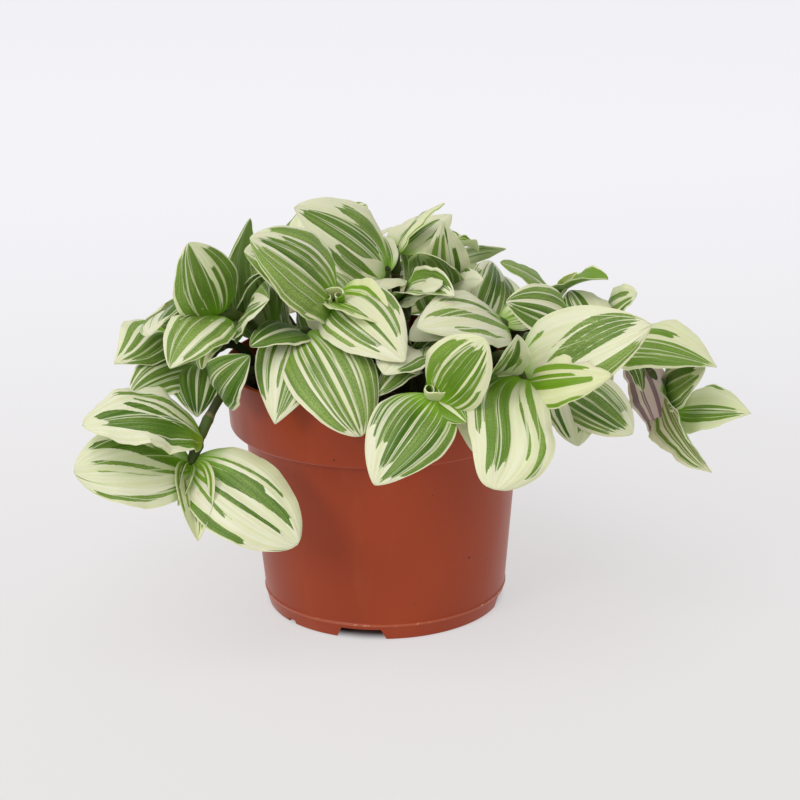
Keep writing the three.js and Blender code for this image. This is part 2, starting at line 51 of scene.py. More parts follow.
# Pot
RIM_RADIUS = 60
POT_HEIGHT = 97
BAND_FOOT_RADIUS = 58.5
BAND_FOOT_HEIGHT = 72.8
NECK_RADIUS = 53
RIDGE_RADIUS = 47.1
RIDGE_HEIGHT = 6.1
RIDGE_PROUD = 0.5
RIDGE_HALF = 0.8
FOOT_RADIUS = 45.9
POT_WALL = 1.2
RIM_BEVEL = 0.4
STEP_SLOPE = 1
CHANNEL_HEIGHT = 5
CHANNEL_INNER_RADIUS = 30
DISC_RADIUS = 27

# Cuts in the foot, widest at the floor: four notches and one small vent, from an angle in degrees
NOTCH = dict(count=4, first=-101.4, top=15.3, floor=20, height=4.3)
VENT = dict(count=1, first=-141, top=4, floor=5, height=1.5)
CUT_TURN = 90
CUT_DEPTH = 8
CUT_BELOW = 1

DRAIN = dict(count=8, radius=3.5, circle=37, depth=4, sides=24)
LEDGE = BAND_FOOT_HEIGHT + POT_WALL
FLOOR_TOP = CHANNEL_HEIGHT + POT_WALL
WALL_RINGS = [RIDGE_HEIGHT + 3 + 9 * i for i in range(7)]
BAND_RINGS = (80, 88)
POT_SIDES = 160
POT_SHARP_FROM = 35
LEAST_EDGE = 0.005

# Soil
SOIL_TOP = 85
SOIL_CROWN = 2
SOIL_RINGS = 40
SOIL_SIDES = 120
SOIL_SHARP_FROM = 60
GAP = 0.3

# What is scattered over the soil: spread says how far out, in millimetres or as a share of its radius
LUMPS = dict(count=400, spread=60, reach=(2, 7), height=(-1.2, 1.6))
CRUMBS = dict(count=260, spread=0.96, radius=(0.7, 2.2), raised=1, rough=0.25, rates=(7, 5))

# Stems
STEM_RADIUS = 2
STEM_DEPTH = 12
STEM_POINTS = 64
STEM_SIDES = 12
STEM_TAPER = 0.22
STEM_END = 0.5
NODE_SWELL = 0.35
NODE_LENGTH = 1.2
SHEATH = dict(length=7, beyond=1, rings=8, proud=0.35, sunk=0.8, fitted=0.5)
LEAST_BACK = 0.3
TUBE_RINGS_PER_UV = 10
ASKEW = (0.31, 0.87, 0.38)

# Leaves as the part has them
BLADE_THICKNESS = 0.7
BLADE_ROOT = 1.4
BLADE_FOLD = 0.3
BLADE_CURL = -50
LEAST_DROOP = 1
PART_OUTLINE = (0.46, 0.5855)
BROAD_FROM = 15
BROAD_BLADE = dict(columns=4, stations=(0, 0.14, 0.4, 0.76))
NARROW_BLADE = dict(columns=2, stations=(0, 0.2, 0.65))
DOME_CENTRE = np.array((0, 0, 40.0))
SEED = 20817

# Leaves set by rule, counted back from the tip: they grow and open with age, in two ranks
RULED = dict(
    first_back=2, back_growth=1.7, least_rise=10,
    length=46, length_start=0.6, length_steps=1.6, length_least=0.9, length_spread=0.2,
    open=18, open_growth=58, open_steps=1.4, open_spread=12,
    rank=18, rank_spread=36, width=0.68, droop=35, droop_spread=30, roll_spread=30,
    bud_width=0.45, bud_curl=110,
)

# Each shoot stands in the soil at foot, rises towards height rise and bends through bend to its tip;
# rest numbers its leaves set by rule.
# A leaf: distance from the tip, heading, rise, length and width, droop, roll about its length, curl.
SHOOTS = dict(
    hanging_left=dict(
        foot=(-38, -22), rise=115, bend=(-58, -36, 108), tip=(-70, -52, 72), rest=(),
        leaves=[(2, 211, 7, 46, 38, 40, -30), (3, 330, -29, 51, 38, 40, -41),
                (13, 212, 15, 48, 34, 80, -20), (2, 279, -50, 30, 17, 40, -58, 60),
                (1, 256, -34, 18, 9, 20, -63, 120), (30, 300, 41, 32, 22, 90, 46)],
    ),
    left_front=dict(
        foot=(-40, -10), rise=110, bend=(-50, -18, 126), tip=(-62, -25, 120), rest=(3, 4, 5),
        leaves=[(2, 245, 62, 37, 30, 35, 140), (4, 249, -32, 38, 28, 60, -38),
                (1, 221, 4, 18, 10, 20, -70, 110)],
    ),
    left_far=dict(
        foot=(-42, 8), rise=120, bend=(-68, 5, 124), tip=(-82, 4, 105), rest=(3, 4, 5),
        leaves=[(2, 234, -7, 32, 29, 60, -69)],
    ),
    left_low=dict(
        foot=(-45, -1), rise=108, bend=(-62, -3, 112), tip=(-70, -4, 92), rest=(2,),
        leaves=[(2, 229, 0, 36, 28, 60, -66), (4, 276, -16, 34, 26, 80, -60)],
    ),
    left_upright=dict(
        foot=(-32, 4), rise=106, bend=(-48, 4, 116), tip=(-58, -2, 108), rest=(1, 3, 4),
        leaves=[(5, 299, 73, 47, 30, 40, -6), (2, 80, 56, 34, 20, 40, -26)],
    ),
    centre_main=dict(
        foot=(-12, -14), rise=116, bend=(-14, -18, 130), tip=(-17, -28, 127), rest=(4, 5),
        leaves=[(2, 218, 39, 47, 36, 50, -57), (9, 212, 33, 47, 40, 55, -38), (3, 307, -19, 44, 34, 50, 11),
                (2, 316, -10, 28, 21, 40, 1, 20), (1, 264, 48, 10, 8, 0, 173, 130)],
    ),
    centre_left=dict(
        foot=(-24, -20), rise=106, bend=(-26, -27, 120), tip=(-28, -36, 117), rest=(),
        leaves=[(2, 300, -34, 50, 37, 60, 3), (4, 252, -36, 42, 32, 60, -20), (9, 231, 6, 32, 20, 60, -19)],
    ),
    crown_front=dict(
        foot=(-1, 4), rise=100, bend=(0, 5, 122), tip=(3, 3, 132), rest=(3, 4, 5, 6),
        leaves=[(2, 213, 33, 48, 36, 60, -57), (4, 100, 20, 26, 20, 60, -37), (8, 262, 8, 28, 24, 60, 3)],
    ),
    crown_back=dict(
        foot=(-10, 24), rise=105, bend=(-11, 30, 130), tip=(-11, 39, 140), rest=(3, 4, 5),
        leaves=[(2, 241, 41, 22, 15, 40, -114), (3, 296, 43, 20, 15, 40, 110)],
    ),
    crown_right=dict(
        foot=(10, -10), rise=104, bend=(9, -8, 118), tip=(8, -6, 124), rest=(3, 4, 5),
        leaves=[(2, 313, 38, 32, 18, 60, 44, 20), (3, 305, 24, 28, 22, 40, 35)],
    ),
    crown_far=dict(
        foot=(6, 18), rise=105, bend=(6, 16, 128), tip=(6, 14, 137), rest=(1, 2, 4, 5),
        leaves=[(2, 52, 14, 34, 24, 30, 17)],
    ),
    right_upright=dict(
        foot=(20, 10), rise=104, bend=(24, 11, 118), tip=(27, 11, 124), rest=(2, 3, 4, 5),
        leaves=[(2, 262, 64, 32, 20, 30, -145), (4, 303, 20, 26, 16, 30, 73)],
    ),
    right_middle=dict(
        foot=(36, 6), rise=106, bend=(58, 4, 114), tip=(69, 4, 100), rest=(1, 2),
        leaves=[(3, 293, 2, 36, 29, 50, 71)],
    ),
    centre_right=dict(
        foot=(30, -6), rise=106, bend=(40, -10, 120), tip=(48, -14, 112), rest=(1, 3, 4),
        leaves=[(2, 218, 15, 46, 33, 60, -5), (12, 226, 5, 40, 26, 60, 4)],
    ),
    centre_low=dict(
        foot=(8, -26), rise=102, bend=(12, -30, 112), tip=(16, -34, 108), rest=(),
        leaves=[(3, 247, 6, 32, 25, 60, -10), (2, 242, -21, 32, 22, 60, -1), (6, 290, -10, 24, 18, 60, 27)],
    ),
    front=dict(
        foot=(14, -38), rise=112, bend=(18, -52, 112), tip=(20, -62, 98), rest=(),
        leaves=[(2, 312, 47, 38, 30, 35, 7), (3, 235, -29, 44, 34, 45, 11), (2, 309, -15, 17, 13, 40, 14),
                (1, 268, 41, 10, 8, 0, -103, 130)],
    ),
    front_right=dict(
        foot=(36, -24), rise=112, bend=(47, -42, 116), tip=(53, -52, 101), rest=(),
        leaves=[(6, 338, 25, 53, 37, 45, 29), (2, 326, 13, 36, 26, 50, 43), (4, 249, -30, 53, 36, 50, 27),
                (1, 338, -43, 12, 8, 0, 48, 130)],
    ),
    front_between=dict(
        foot=(26, -32), rise=106, bend=(34, -42, 112), tip=(38, -48, 102), rest=(),
        leaves=[(2, 293, 43, 32, 20, 40, -114, 10), (3, 261, -34, 30, 24, 50, 37),
                (9, 273, -61, 36, 24, 50, 14)],
    ),
    right_low=dict(
        foot=(42, -12), rise=108, bend=(62, -20, 108), tip=(70, -25, 88), rest=(3,),
        leaves=[(2, 275, -27, 28, 23, 60, 51), (4, 311, -16, 36, 27, 50, 62)],
    ),
    right_far=dict(
        foot=(46, 0), rise=122, bend=(94, -6, 118), tip=(114, -8, 75), rest=(1,),
        leaves=[(2, 321, 8, 32, 26, 40, 108), (14, 298, -38, 42, 24, 30, 149, 20),
                (12, 294, 29, 32, 28, 50, 156), (36, 313, 1, 46, 32, 60, 75),
                (30, 309, -63, 38, 22, 50, -67), (40, 296, -35, 26, 16, 50, 20),
                (56, 216, 26, 36, 29, 50, -29), (46, 107, 8, 30, 22, 50, -53)],
    ),
    right_back=dict(
        foot=(38, 20), rise=110, bend=(60, 26, 121), tip=(70, 25, 111), rest=(4, 5),
        leaves=[(2, 217, 34, 34, 20, 30, -18), (2, 313, 8, 30, 18, 40, 61, 10),
                (1, 326, 55, 15, 9, 10, 161, 110)],
    ),
    right_back_far=dict(
        foot=(44, 12), rise=110, bend=(76, 16, 120), tip=(89, 20, 106), rest=(2, 3, 4, 5),
        leaves=[(2, 300, 32, 24, 18, 40, 126)],
    ),
)

# The far side: an outer ring of shoots that hang over the rim and an inner ring that stands up.
# Angles in plan run from and to; tip is the radius of the tips and height their height.
OUTER_RING = dict(name="back_outer", count=7, start=44, end=152, foot=42, tip=88, height=92)
INNER_RING = dict(name="back_inner", count=5, start=58, end=156, foot=30, tip=54, height=119)
RING_LEAVES = (0, 1, 2, 3, 4, 5, 6)
RING_STEM = dict(rise=24, arch=9, bend_at=0.8, angle_spread=6, least=0.92, spread=0.16)

# A leaf of the part may be lifted, swung, rolled or smaller than its row says, to clear another
CLEARING_STEPS = (0, 5, -5, 10, -10, 17, -17, 25, -25)
CLEARING_ROLLS = (0, 15, -15)
CLEARING_SIZES = (1, 0.85, 0.7)


# The green bands that the photo shows, by shoot and leaf number, in percent: across at the root and at
# the tip, half-width, end along the leaf, shade from dark (0) to greyish (100), and start if not 0
BANDS = dict(
    hanging_left={
        0: ((-60, -92, 7, 88, 70), (-52, -50, 12, 110, 50, 88), (-46, -3, 2, 85, 100, 30),
            (-42, 28, 5, 84, 50), (-22, 86, 12, 83, 40), (-4, 97, 3, 38, 60)),
        1: ((-35, -72, 3.5, 68, 50), (-15, -55, 6, 60, 45), (5, -42, 12, 87, 35), (28, 6, 5, 90, 40),
            (36, 70, 4, 52, 50), (84, 97, 16, 72, 40, 14), (90, 90, 7, 97, 40, 84)),
        2: ((-84, 10, 33, 87, 25), (-50, 70, 8, 70, 30), (-28, 92, 4, 60, 50), (10, 100, 8, 72, 60)),
        3: ((-80, -76, 8, 80, 60), (-55, -50, 8, 85, 50), (-28, -24, 7, 90, 60), (0, 2, 6, 75, 50),
            (40, 38, 5, 60, 70, 10), (80, 78, 8, 70, 60)),
        5: ((-62, -65, 32, 110, 10), (2, -10, 22, 110, 15), (62, 50, 30, 110, 20)),
    },
    left_front={
        0: ((-62, -92, 14, 90, 60), (-28, -60, 15, 97, 45), (10, -18, 21, 100, 35), (36, 34, 6, 70, 50),
            (68, 72, 22, 86, 50)),
        1: ((-85, -90, 11, 110, 80), (-55, -50, 15, 90, 70), (-5, 5, 16, 97, 90), (24, 32, 8, 97, 80),
            (55, 60, 14, 95, 60)),
        2: ((-55, -58, 25, 90, 50), (-5, 0, 15, 80, 60), (50, 50, 25, 90, 50)),
    },
    left_far={
        0: ((-80, -80, 15, 90, 50), (-47, -50, 12, 85, 60), (-15, -20, 12, 90, 60), (15, 17, 10, 80, 60),
            (50, 55, 12, 90, 60)),
    },
    left_low={
        0: ((-80, -80, 10, 95, 40), (-50, -50, 11, 95, 30), (-20, -20, 10, 95, 35), (10, 10, 12, 95, 40),
            (42, 42, 10, 95, 50), (75, 75, 12, 90, 50)),
        1: ((-72, -70, 22, 97, 10), (-20, -20, 14, 97, 15), (12, 14, 10, 95, 10), (42, 42, 14, 95, 10),
            (78, 78, 14, 90, 40)),
    },
    left_upright={
        0: ((-55, -55, 43, 110, 85), (45, 45, 50, 110, 90)),
        1: ((-50, -50, 40, 110, 90), (40, 40, 40, 90, 80)),
    },
    centre_main={
        0: ((-74, -78, 22, 110, 90), (-40, -44, 10, 94, 90), (-19, -18, 9, 90, 80), (-3, 12, 8, 95, 30),
            (14, 34, 5, 90, 50), (30, 50, 5, 78, 50), (64, 78, 18, 84, 80)),
        1: ((-70, -70, 22, 110, 85), (-30, -26, 10, 93, 80), (-5, 10, 10, 93, 70), (18, 46, 10, 90, 60),
            (42, 75, 6, 85, 70), (75, 92, 6, 70, 80)),
        2: ((-83, -83, 11, 60, 60), (-58, -64, 6, 75, 70), (-40, -45, 7, 82, 50), (-1, -7, 5, 92, 40),
            (20, 25, 3, 80, 70, 10), (35, 40, 6, 75, 50), (50, 56, 5, 85, 60), (75, 74, 6, 60, 70)),
        3: ((-65, -62, 10, 75, 50), (-40, -37, 6, 70, 60), (-2, 0, 8, 60, 40), (20, 20, 8, 70, 50),
            (41, 43, 9, 78, 40), (68, 68, 12, 60, 40)),
        4: ((-50, -50, 10, 80, 30), (50, 50, 10, 80, 30)),
    },
    centre_left={
        0: ((-90, -90, 7, 110, 60), (-62, -62, 17, 100, 80), (-32, -30, 9, 97, 60), (-11, -8, 6, 97, 50),
            (8, 14, 5, 97, 50), (24, 32, 5, 95, 50), (40, 47, 4, 95, 60), (72, 72, 17, 92, 70)),
        1: ((-75, -72, 10, 80, 50), (-45, -42, 9, 90, 50), (-20, -18, 9, 97, 40), (0, 2, 5, 95, 40),
            (17, 22, 4, 70, 50, 20), (47, 57, 6, 75, 50), (82, 82, 12, 80, 50)),
        2: ((-50, -50, 38, 110, 35), (50, 50, 40, 110, 15)),
    },
    centre_low={
        0: ((-70, -70, 20, 90, 30), (25, 40, 7, 66, 50, 10), (70, 75, 5, 80, 50, 20)),
        1: ((-60, -60, 30, 95, 40), (0, 5, 14, 95, 40), (50, 50, 25, 90, 30)),
    },
    centre_right={
        0: ((-90, -35, 9, 73, 70, 25), (-60, 50, 14, 86, 75), (-10, 100, 7, 70, 50)),
        1: ((-75, -35, 10, 55, 60), (30, 40, 30, 70, 70)),
    },
    crown_front={
        0: ((-85, -85, 10, 65, 50), (-56, -60, 11, 62, 40, 10), (5, -20, 33, 92, 40, 12),
            (22, 72, 16, 66, 60)),
        1: ((-75, -72, 15, 80, 50, 10), (-35, -30, 5, 90, 60, 40), (25, 25, 20, 100, 80),
            (60, 58, 10, 100, 70)),
    },
    crown_far={0: ((15, -2, 10, 76, 70), (55, 65, 13, 62, 50, 30))},
    crown_right={0: ((-60, -60, 30, 90, 40), (40, 40, 45, 90, 80))},
    right_upright={
        0: ((-52, -50, 15, 80, 80, 30), (-12, -10, 10, 80, 80), (15, 15, 12, 90, 20, 66),
            (42, 40, 11, 65, 30)),
    },
    right_middle={0: ((-60, -60, 30, 70, 50), (0, 0, 6, 60, 40, 20), (50, 50, 30, 80, 40, 15))},
    front={
        0: ((-52, -76, 15, 80, 60), (-28, -60, 4, 84, 60), (-16, -40, 5, 87, 50), (-4, -20, 7, 85, 25),
            (9, -3, 7, 88, 15), (22, 18, 11, 93, 10), (37, 48, 6, 90, 25), (52, 68, 7, 83, 35),
            (74, 84, 5, 60, 50)),
        1: ((-80, -85, 12, 85, 50), (-60, -62, 9, 90, 30), (-41, -43, 9, 93, 35), (-23, -27, 8, 92, 40),
            (-7, -12, 5, 77, 30), (8, 6, 6, 88, 20), (21, 19, 5, 85, 30), (33, 34, 5, 65, 40),
            (47, 52, 6, 70, 40), (64, 66, 6, 65, 50), (84, 86, 9, 60, 50)),
        2: ((-52, -50, 42, 100, 20), (50, 50, 40, 100, 30)),
        3: ((-50, -50, 10, 80, 30), (50, 50, 10, 80, 30)),
    },
    front_right={
        0: ((-45, -97, 8, 27, 50, 5), (12, -90, 8, 93, 60, 38), (27, -72, 7, 95, 50, 20),
            (35, -52, 6, 90, 50, 10), (42, -34, 6, 87, 45), (48, -16, 5, 83, 50), (56, 14, 6, 97, 60, 87),
            (73, 68, 20, 90, 70)),
        1: ((-28, -28, 10, 76, 60), (0, -3, 6, 65, 50), (24, 22, 15, 84, 55), (90, 90, 8, 70, 60, 10)),
        2: ((-28, -85, 9, 90, 60), (-6, -50, 4, 80, 60, 15), (12, 20, 13, 85, 30), (38, 50, 11, 90, 50),
            (64, 78, 8, 60, 50)),
    },
    front_between={
        1: ((-85, -80, 12, 80, 60), (-10, 0, 15, 65, 60, 35), (60, 60, 28, 65, 40)),
        2: ((-60, -55, 6, 85, 60, 20), (-20, -10, 20, 60, 50), (45, 40, 36, 50, 30)),
    },
    right_low={
        0: ((-85, -85, 13, 75, 20), (-52, -52, 12, 80, 20), (-20, -20, 12, 80, 40), (54, 50, 8, 90, 40, 20),
            (80, 77, 6, 85, 30, 20)),
        1: ((-60, -60, 10, 80, 60), (-37, -37, 5, 78, 60), (-13, -15, 12, 92, 40), (15, 15, 10, 88, 25),
            (40, 38, 10, 88, 45), (62, 60, 6, 85, 50), (80, 78, 6, 80, 50)),
    },
    right_far={
        0: ((-85, -85, 10, 55, 40, 20), (6, -3, 7, 80, 50), (19, 20, 6, 83, 50), (34, 41, 9, 92, 40),
            (50, 62, 7, 85, 55)),
        1: ((-80, -80, 10, 95, 60), (-50, -50, 10, 95, 80), (-20, -20, 10, 90, 60), (10, 10, 10, 90, 80),
            (40, 40, 10, 90, 70), (72, 72, 10, 90, 60)),
        2: ((-60, -60, 30, 100, 50), (-8, -8, 12, 85, 30), (21, 20, 10, 85, 70), (50, 50, 12, 88, 70),
            (80, 80, 10, 80, 50)),
        3: ((-30, -32, 10, 58, 50), (22, 12, 26, 97, 60), (72, 66, 20, 93, 50)),
        4: ((-75, -75, 12, 92, 20), (-40, -40, 8, 85, 20), (10, 10, 10, 80, 40)),
        5: ((-60, -60, 30, 100, 40), (0, 0, 20, 100, 50), (60, 60, 30, 90, 30)),
        6: ((-65, -65, 20, 97, 30, 30), (-28, -27, 12, 97, 30, 15), (5, 0, 10, 95, 40),
            (60, 50, 25, 100, 50)),
    },
    right_back={
        0: ((-50, -50, 45, 110, 90), (48, 48, 44, 110, 90)),
        1: ((-50, -50, 42, 110, 60), (45, 45, 40, 110, 40)),
    },
    right_back_far={0: ((-30, -20, 15, 80, 70), (30, 30, 15, 90, 60), (70, 70, 12, 90, 60))},
)

# How some leaves differ: point (how sharp the tip is), young (how yellow-green), wave (how wavy the
# margins are), sway (an S-bend to the side, in millimetres), mauve (the underside) and rolled (margins
# rolled up, or down where it is -1, like two scrolls)
TRAITS = dict(
    hanging_left={
        0: dict(point=0.62, wave=1.3), 1: dict(point=0.62), 2: dict(point=0.70, wave=2.4),
        3: dict(young=0.5, point=0.9), 4: dict(young=0.6),
    },
    left_front={0: dict(point=0.72, young=0.15), 2: dict(young=0.5)},
    left_far={0: dict(wave=2.0, sway=1.5, point=0.95)},
    centre_main={2: dict(point=0.90), 3: dict(point=0.85, young=0.75), 4: dict(young=0.8, rolled=1)},
    centre_left={0: dict(point=0.62), 1: dict(point=0.95)},
    front={
        0: dict(point=0.72, young=0.4), 1: dict(point=0.75), 2: dict(young=0.6),
        3: dict(young=0.7, rolled=-1),
    },
    front_right={
        1: dict(point=0.85, young=0.75), 2: dict(point=0.52, young=0.2, wave=2.2, sway=2.6),
        3: dict(young=0.8, rolled=1),
    },
    crown_far={0: dict(point=0.9, young=0.15)},
    right_upright={0: dict(point=0.95)},
    right_far={
        0: dict(point=1.05, young=0.3), 1: dict(point=1.05, wave=2.0), 3: dict(point=1.05, young=0.35),
        4: dict(mauve=1.0, wave=2.0),
    },
    right_back={1: dict(young=0.6), 2: dict(young=0.7)},
)
USUAL = dict(point=0.80, young=0.0, wave=1.0, sway=0.0, mauve=0.0, rolled=0)

# How young the leaves set by rule are, from the tip back; older ones are as usual
RULED_YOUNG = (1.0, 0.5, 0.15)


# Where the leaves are

MULTIPLIER = 7 ** 5
MODULUS = 2 ** 31 - 1


def random_from(seed):
    """Random numbers by repeated multiplication, as the part's source draws them."""
    state = seed

    def draw():
        nonlocal state
        state = state * MULTIPLIER % MODULUS
        return state / MODULUS

    return draw


def unit(vector):
    return vector / np.linalg.norm(vector)


def direction(heading, rise):
    """A unit vector, from its angles in degrees: in plan from +X, and up from the level."""
    flat = math.cos(math.radians(rise))
    turn = math.radians(heading)
    return np.array((flat * math.cos(turn), flat * math.sin(turn), math.sin(math.radians(rise))))


def turned(vector, axis, angle):
    """The vector turned about a unit axis that it stands square to, by an angle in degrees."""
    turn = math.radians(angle)
    return vector * math.cos(turn) + np.cross(axis, vector) * math.sin(turn)


def stem_line(shoot):
    """Points from the foot of a stem to its tip."""
    x, y = shoot["foot"]
    corners = np.array((
        (x, y, SOIL_TOP - STEM_DEPTH), (x, y, shoot["rise"]), shoot["bend"], shoot["tip"],
    ), float)
    t = np.linspace(0, 1, STEM_POINTS + 1)[:, None]
    weights = ((1 - t) ** 3, 3 * (1 - t) ** 2 * t, 3 * (1 - t) * t ** 2, t ** 3)
    return sum(weight * corner for weight, corner in zip(weights, corners))


def stem_node(shoot, back):
    """The place and the direction of a stem, a distance back from its tip."""
    line = stem_line(shoot)[::-1]
    left = back
    for nearer, farther in zip(line, line[1:]):
        step = nearer - farther
        length = np.linalg.norm(step)
        if left <= length or farther is line[-1]:
            break
        left -= length
    along = step / length
    return nearer - along * left, along


def ring_shoots(ring, draw):
    """The shoots of one ring of the far side, by name."""
    rule = RING_STEM
    rise = SOIL_TOP + rule["rise"]
    shoots = {}
    for i in range(ring["count"]):
        even = ring["start"] + (ring["end"] - ring["start"]) * i / (ring["count"] - 1)
        angle = math.radians(even + rule["angle_spread"] * (draw() - 0.5))
        reach = ring["tip"] * (rule["least"] + rule["spread"] * draw())
        end = ring["height"] * (rule["least"] + rule["spread"] * draw())
        out = np.array((math.cos(angle), math.sin(angle)))
        shoots[f"{ring['name']}_{i + 1}"] = dict(
            foot=tuple(out * ring["foot"]),
            rise=rise,
            bend=(*(out * rule["bend_at"] * reach), max(end, rise) + rule["arch"]),
            tip=(*(out * reach), end),
            rest=RING_LEAVES,
            leaves=[],
        )
    return shoots


def leaf_by_rule(shoot, index, draw):
    """The index-th leaf back from the tip."""
    rule = RULED
    back = rule["first_back"] + rule["back_growth"] * index * index
    _, along = stem_node(shoot, back)
    grown = 1 - math.exp(-(index + rule["length_start"]) / rule["length_steps"])
    length = rule["length"] * grown * (rule["length_least"] + rule["length_spread"] * draw())
    opened = rule["open_growth"] * (1 - math.exp(-index / rule["open_steps"]))
    angle = math.radians(rule["open"] + opened + rule["open_spread"] * (draw() - 0.5))
    rank = rule["rank"] if index % 2 == 0 else 180 - rule["rank"]
    spin = math.radians(rank + rule["rank_spread"] * (draw() - 0.5))
    side = unit(np.cross(along, (0, 0, 1)))
    lift = np.cross(side, along)
    outward = side * math.cos(spin) + lift * math.sin(spin)
    aim = along * math.cos(angle) + outward * math.sin(angle)
    return dict(
        back=back,
        heading=math.degrees(math.atan2(aim[1], aim[0])),
        rise=math.degrees(math.asin(aim[2])),
        length=length,
        width=length * (rule["bud_width"] if index == 0 else rule["width"]),
        droop=rule["droop"] + rule["droop_spread"] * draw(),
        roll=rule["roll_spread"] * (draw() - 0.5),
        curl=rule["bud_curl"] if index == 0 else BLADE_CURL,
        shape=NARROW_BLADE,
        outline=PART_OUTLINE,
        by_rule=True,
        index=index,
    )


def leaf_from_row(back, heading, rise, length, width, droop, roll, curl=BLADE_CURL):
    return dict(
        back=back, heading=heading, rise=rise, length=length, width=width, droop=droop,
        roll=roll, curl=curl, shape=BROAD_BLADE if width > BROAD_FROM else NARROW_BLADE,
        outline=PART_OUTLINE, by_rule=False,
    )


def leaf_axes(shoot, leaf):
    """Where a leaf starts, with its first direction, its normal there and its side."""
    root, _ = stem_node(shoot, leaf["back"])
    chord = direction(leaf["heading"], leaf["rise"])
    out = root + chord * leaf["length"] / 2 - DOME_CENTRE
    up = turned(unit(out - chord * (out @ chord)), chord, leaf["roll"])
    side = np.cross(chord, up)
    half = leaf["droop"] / 2
    return dict(
        root=root,
        start=turned(chord, side, half),
        normal=turned(up, side, half),
        side=side,
    )


def half_width(leaf, along):
    """Half the width of a leaf, for places along it from 0 at the root to 1 at the tip."""
    rise, fall = leaf["outline"]
    widest = rise / (rise + fall)
    outline = (along / widest) ** rise * ((1 - along) / (1 - widest)) ** fall
    return np.maximum(BLADE_ROOT * (1 - along), leaf["width"] / 2 * outline)


def open_section(leaf, half, across):
    """Across a blade: how far to the side and how high, and the surface's tilt there."""
    curl = math.radians(leaf["curl"])
    tilt = curl * across
    height = half / curl * (1 - np.cos(tilt)) + half * BLADE_FOLD * np.abs(across)
    return half / curl * np.sin(tilt), height, tilt


def rolled_section(leaf, half, across):
    """Across a young leaf whose margins are rolled up, or down, like two scrolls."""
    t = np.linspace(0, 1, SCROLL["points"])
    curled = np.maximum(t - SCROLL["flat"], 0) / (1 - SCROLL["flat"])
    turn = math.radians(SCROLL["turn"]) * curled ** SCROLL["tightening"]
    out = np.cumsum(np.cos(turn)) / len(t)
    high = np.cumsum(np.sin(turn)) / len(t)
    place = np.abs(across)
    width = half * SCROLL["width"]
    side = np.sign(across)
    return (
        side * width * np.interp(place, t, out),
        leaf["rolled"] * width * np.interp(place, t, high),
        leaf["rolled"] * side * np.interp(place, t, turn),
    )


def blade_points(leaf, axes, along, across, above, raised=0, section=open_section):
    """Points of a blade, for arrays of places along and across it and heights off its middle."""
    bend = math.radians(max(leaf["droop"], LEAST_DROOP))
    arc = leaf["length"] * (bend / 2) / math.sin(bend / 2)
    turn = bend * along
    sideways, height, tilt = section(leaf, half_width(leaf, along), across)
    sideways = sideways + leaf.get("sway", 0) * np.sin(2 * math.pi * along)
    start = axes["start"]
    normal = axes["normal"]
    upward = np.multiply.outer(np.sin(turn), start) + np.multiply.outer(np.cos(turn), normal)
    lifted = height + raised + above * np.cos(tilt)
    return (
        axes["root"]
        + np.multiply.outer(arc * np.sin(turn) / bend, start)
        - np.multiply.outer(arc * (1 - np.cos(turn)) / bend, normal)
        + np.multiply.outer(sideways - above * np.sin(tilt), axes["side"])
        + upward * lifted[..., None]
    )


# The outer corners of a blade as the part has it, and how well they must be met
MATCH_FROM = 0.35
MATCH_NEAR = 0.06
MATCH_SHARE = 0.4


def coarse_corners(leaf, axes):
    """The corners that the part's own blade has beyond MATCH_FROM."""
    stations = [s for s in leaf["shape"]["stations"] if s > MATCH_FROM]
    columns = leaf["shape"]["columns"]
    along, across, above = np.meshgrid(
        stations, np.linspace(-1, 1, columns + 1), (BLADE_THICKNESS / 2, -BLADE_THICKNESS / 2),
    )
    return blade_points(leaf, axes, along.ravel(), across.ravel(), above.ravel())


def share_met(tree, points):
    """The share of the points that have a corner of the part close by."""
    return sum(tree.find(point)[2] < MATCH_NEAR for point in points) / len(points)


def as_the_part_has_it(shoot, leaf, tree):
    """The leaf as it was turned or made smaller in the part, or None where it was left out."""
    root, _ = stem_node(shoot, leaf["back"])
    best, placed = 0, None
    for size, lift, swing in product(CLEARING_SIZES, CLEARING_STEPS, CLEARING_STEPS):
        tried = dict(
            leaf, heading=leaf["heading"] + swing, rise=leaf["rise"] + lift,
            length=leaf["length"] * size, width=leaf["width"] * size,
        )
        tip = root + direction(tried["heading"], tried["rise"]) * tried["length"]
        if tree.find(tip)[2] > BLADE_THICKNESS:
            continue
        for roll in CLEARING_ROLLS:
            rolled = dict(tried, roll=leaf["roll"] + roll)
            met = share_met(tree, coarse_corners(rolled, leaf_axes(shoot, rolled)))
            if met > best:
                best, placed = met, rolled
    return placed if best >= MATCH_SHARE else None


def node_tree(name):
    """The corners of a shoot as it is in the part, in millimetres, for a search by place."""
    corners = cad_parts[f"shoot_{name}"].data.vertices
    tree = kdtree.KDTree(len(corners))
    for i, corner in enumerate(corners):
        tree.insert(corner.co / MM, i)
    tree.balance()
    return tree


def all_leaves():
    """Every shoot with the leaves that the part has: name, shoot, [(leaf, number or None)]."""
    draw = random_from(SEED)
    shoots = dict(SHOOTS)
    shoots.update(ring_shoots(OUTER_RING, draw))
    shoots.update(ring_shoots(INNER_RING, draw))
    found = []
    for name, shoot in shoots.items():
        tree = node_tree(name)
        wanted = [(leaf_from_row(*row), number) for number, row in enumerate(shoot["leaves"])]
        for index in shoot["rest"]:
            leaf = leaf_by_rule(shoot, index, draw)
            if stem_node(shoot, leaf["back"])[0][2] > SOIL_TOP + RULED["least_rise"]:
                wanted.append((leaf, None))
        kept = []
        for leaf, number in wanted:
            placed = as_the_part_has_it(shoot, leaf, tree)
            if placed:
                kept.append((placed, number))
        found.append((name, shoot, kept))
    return found


# Meshes

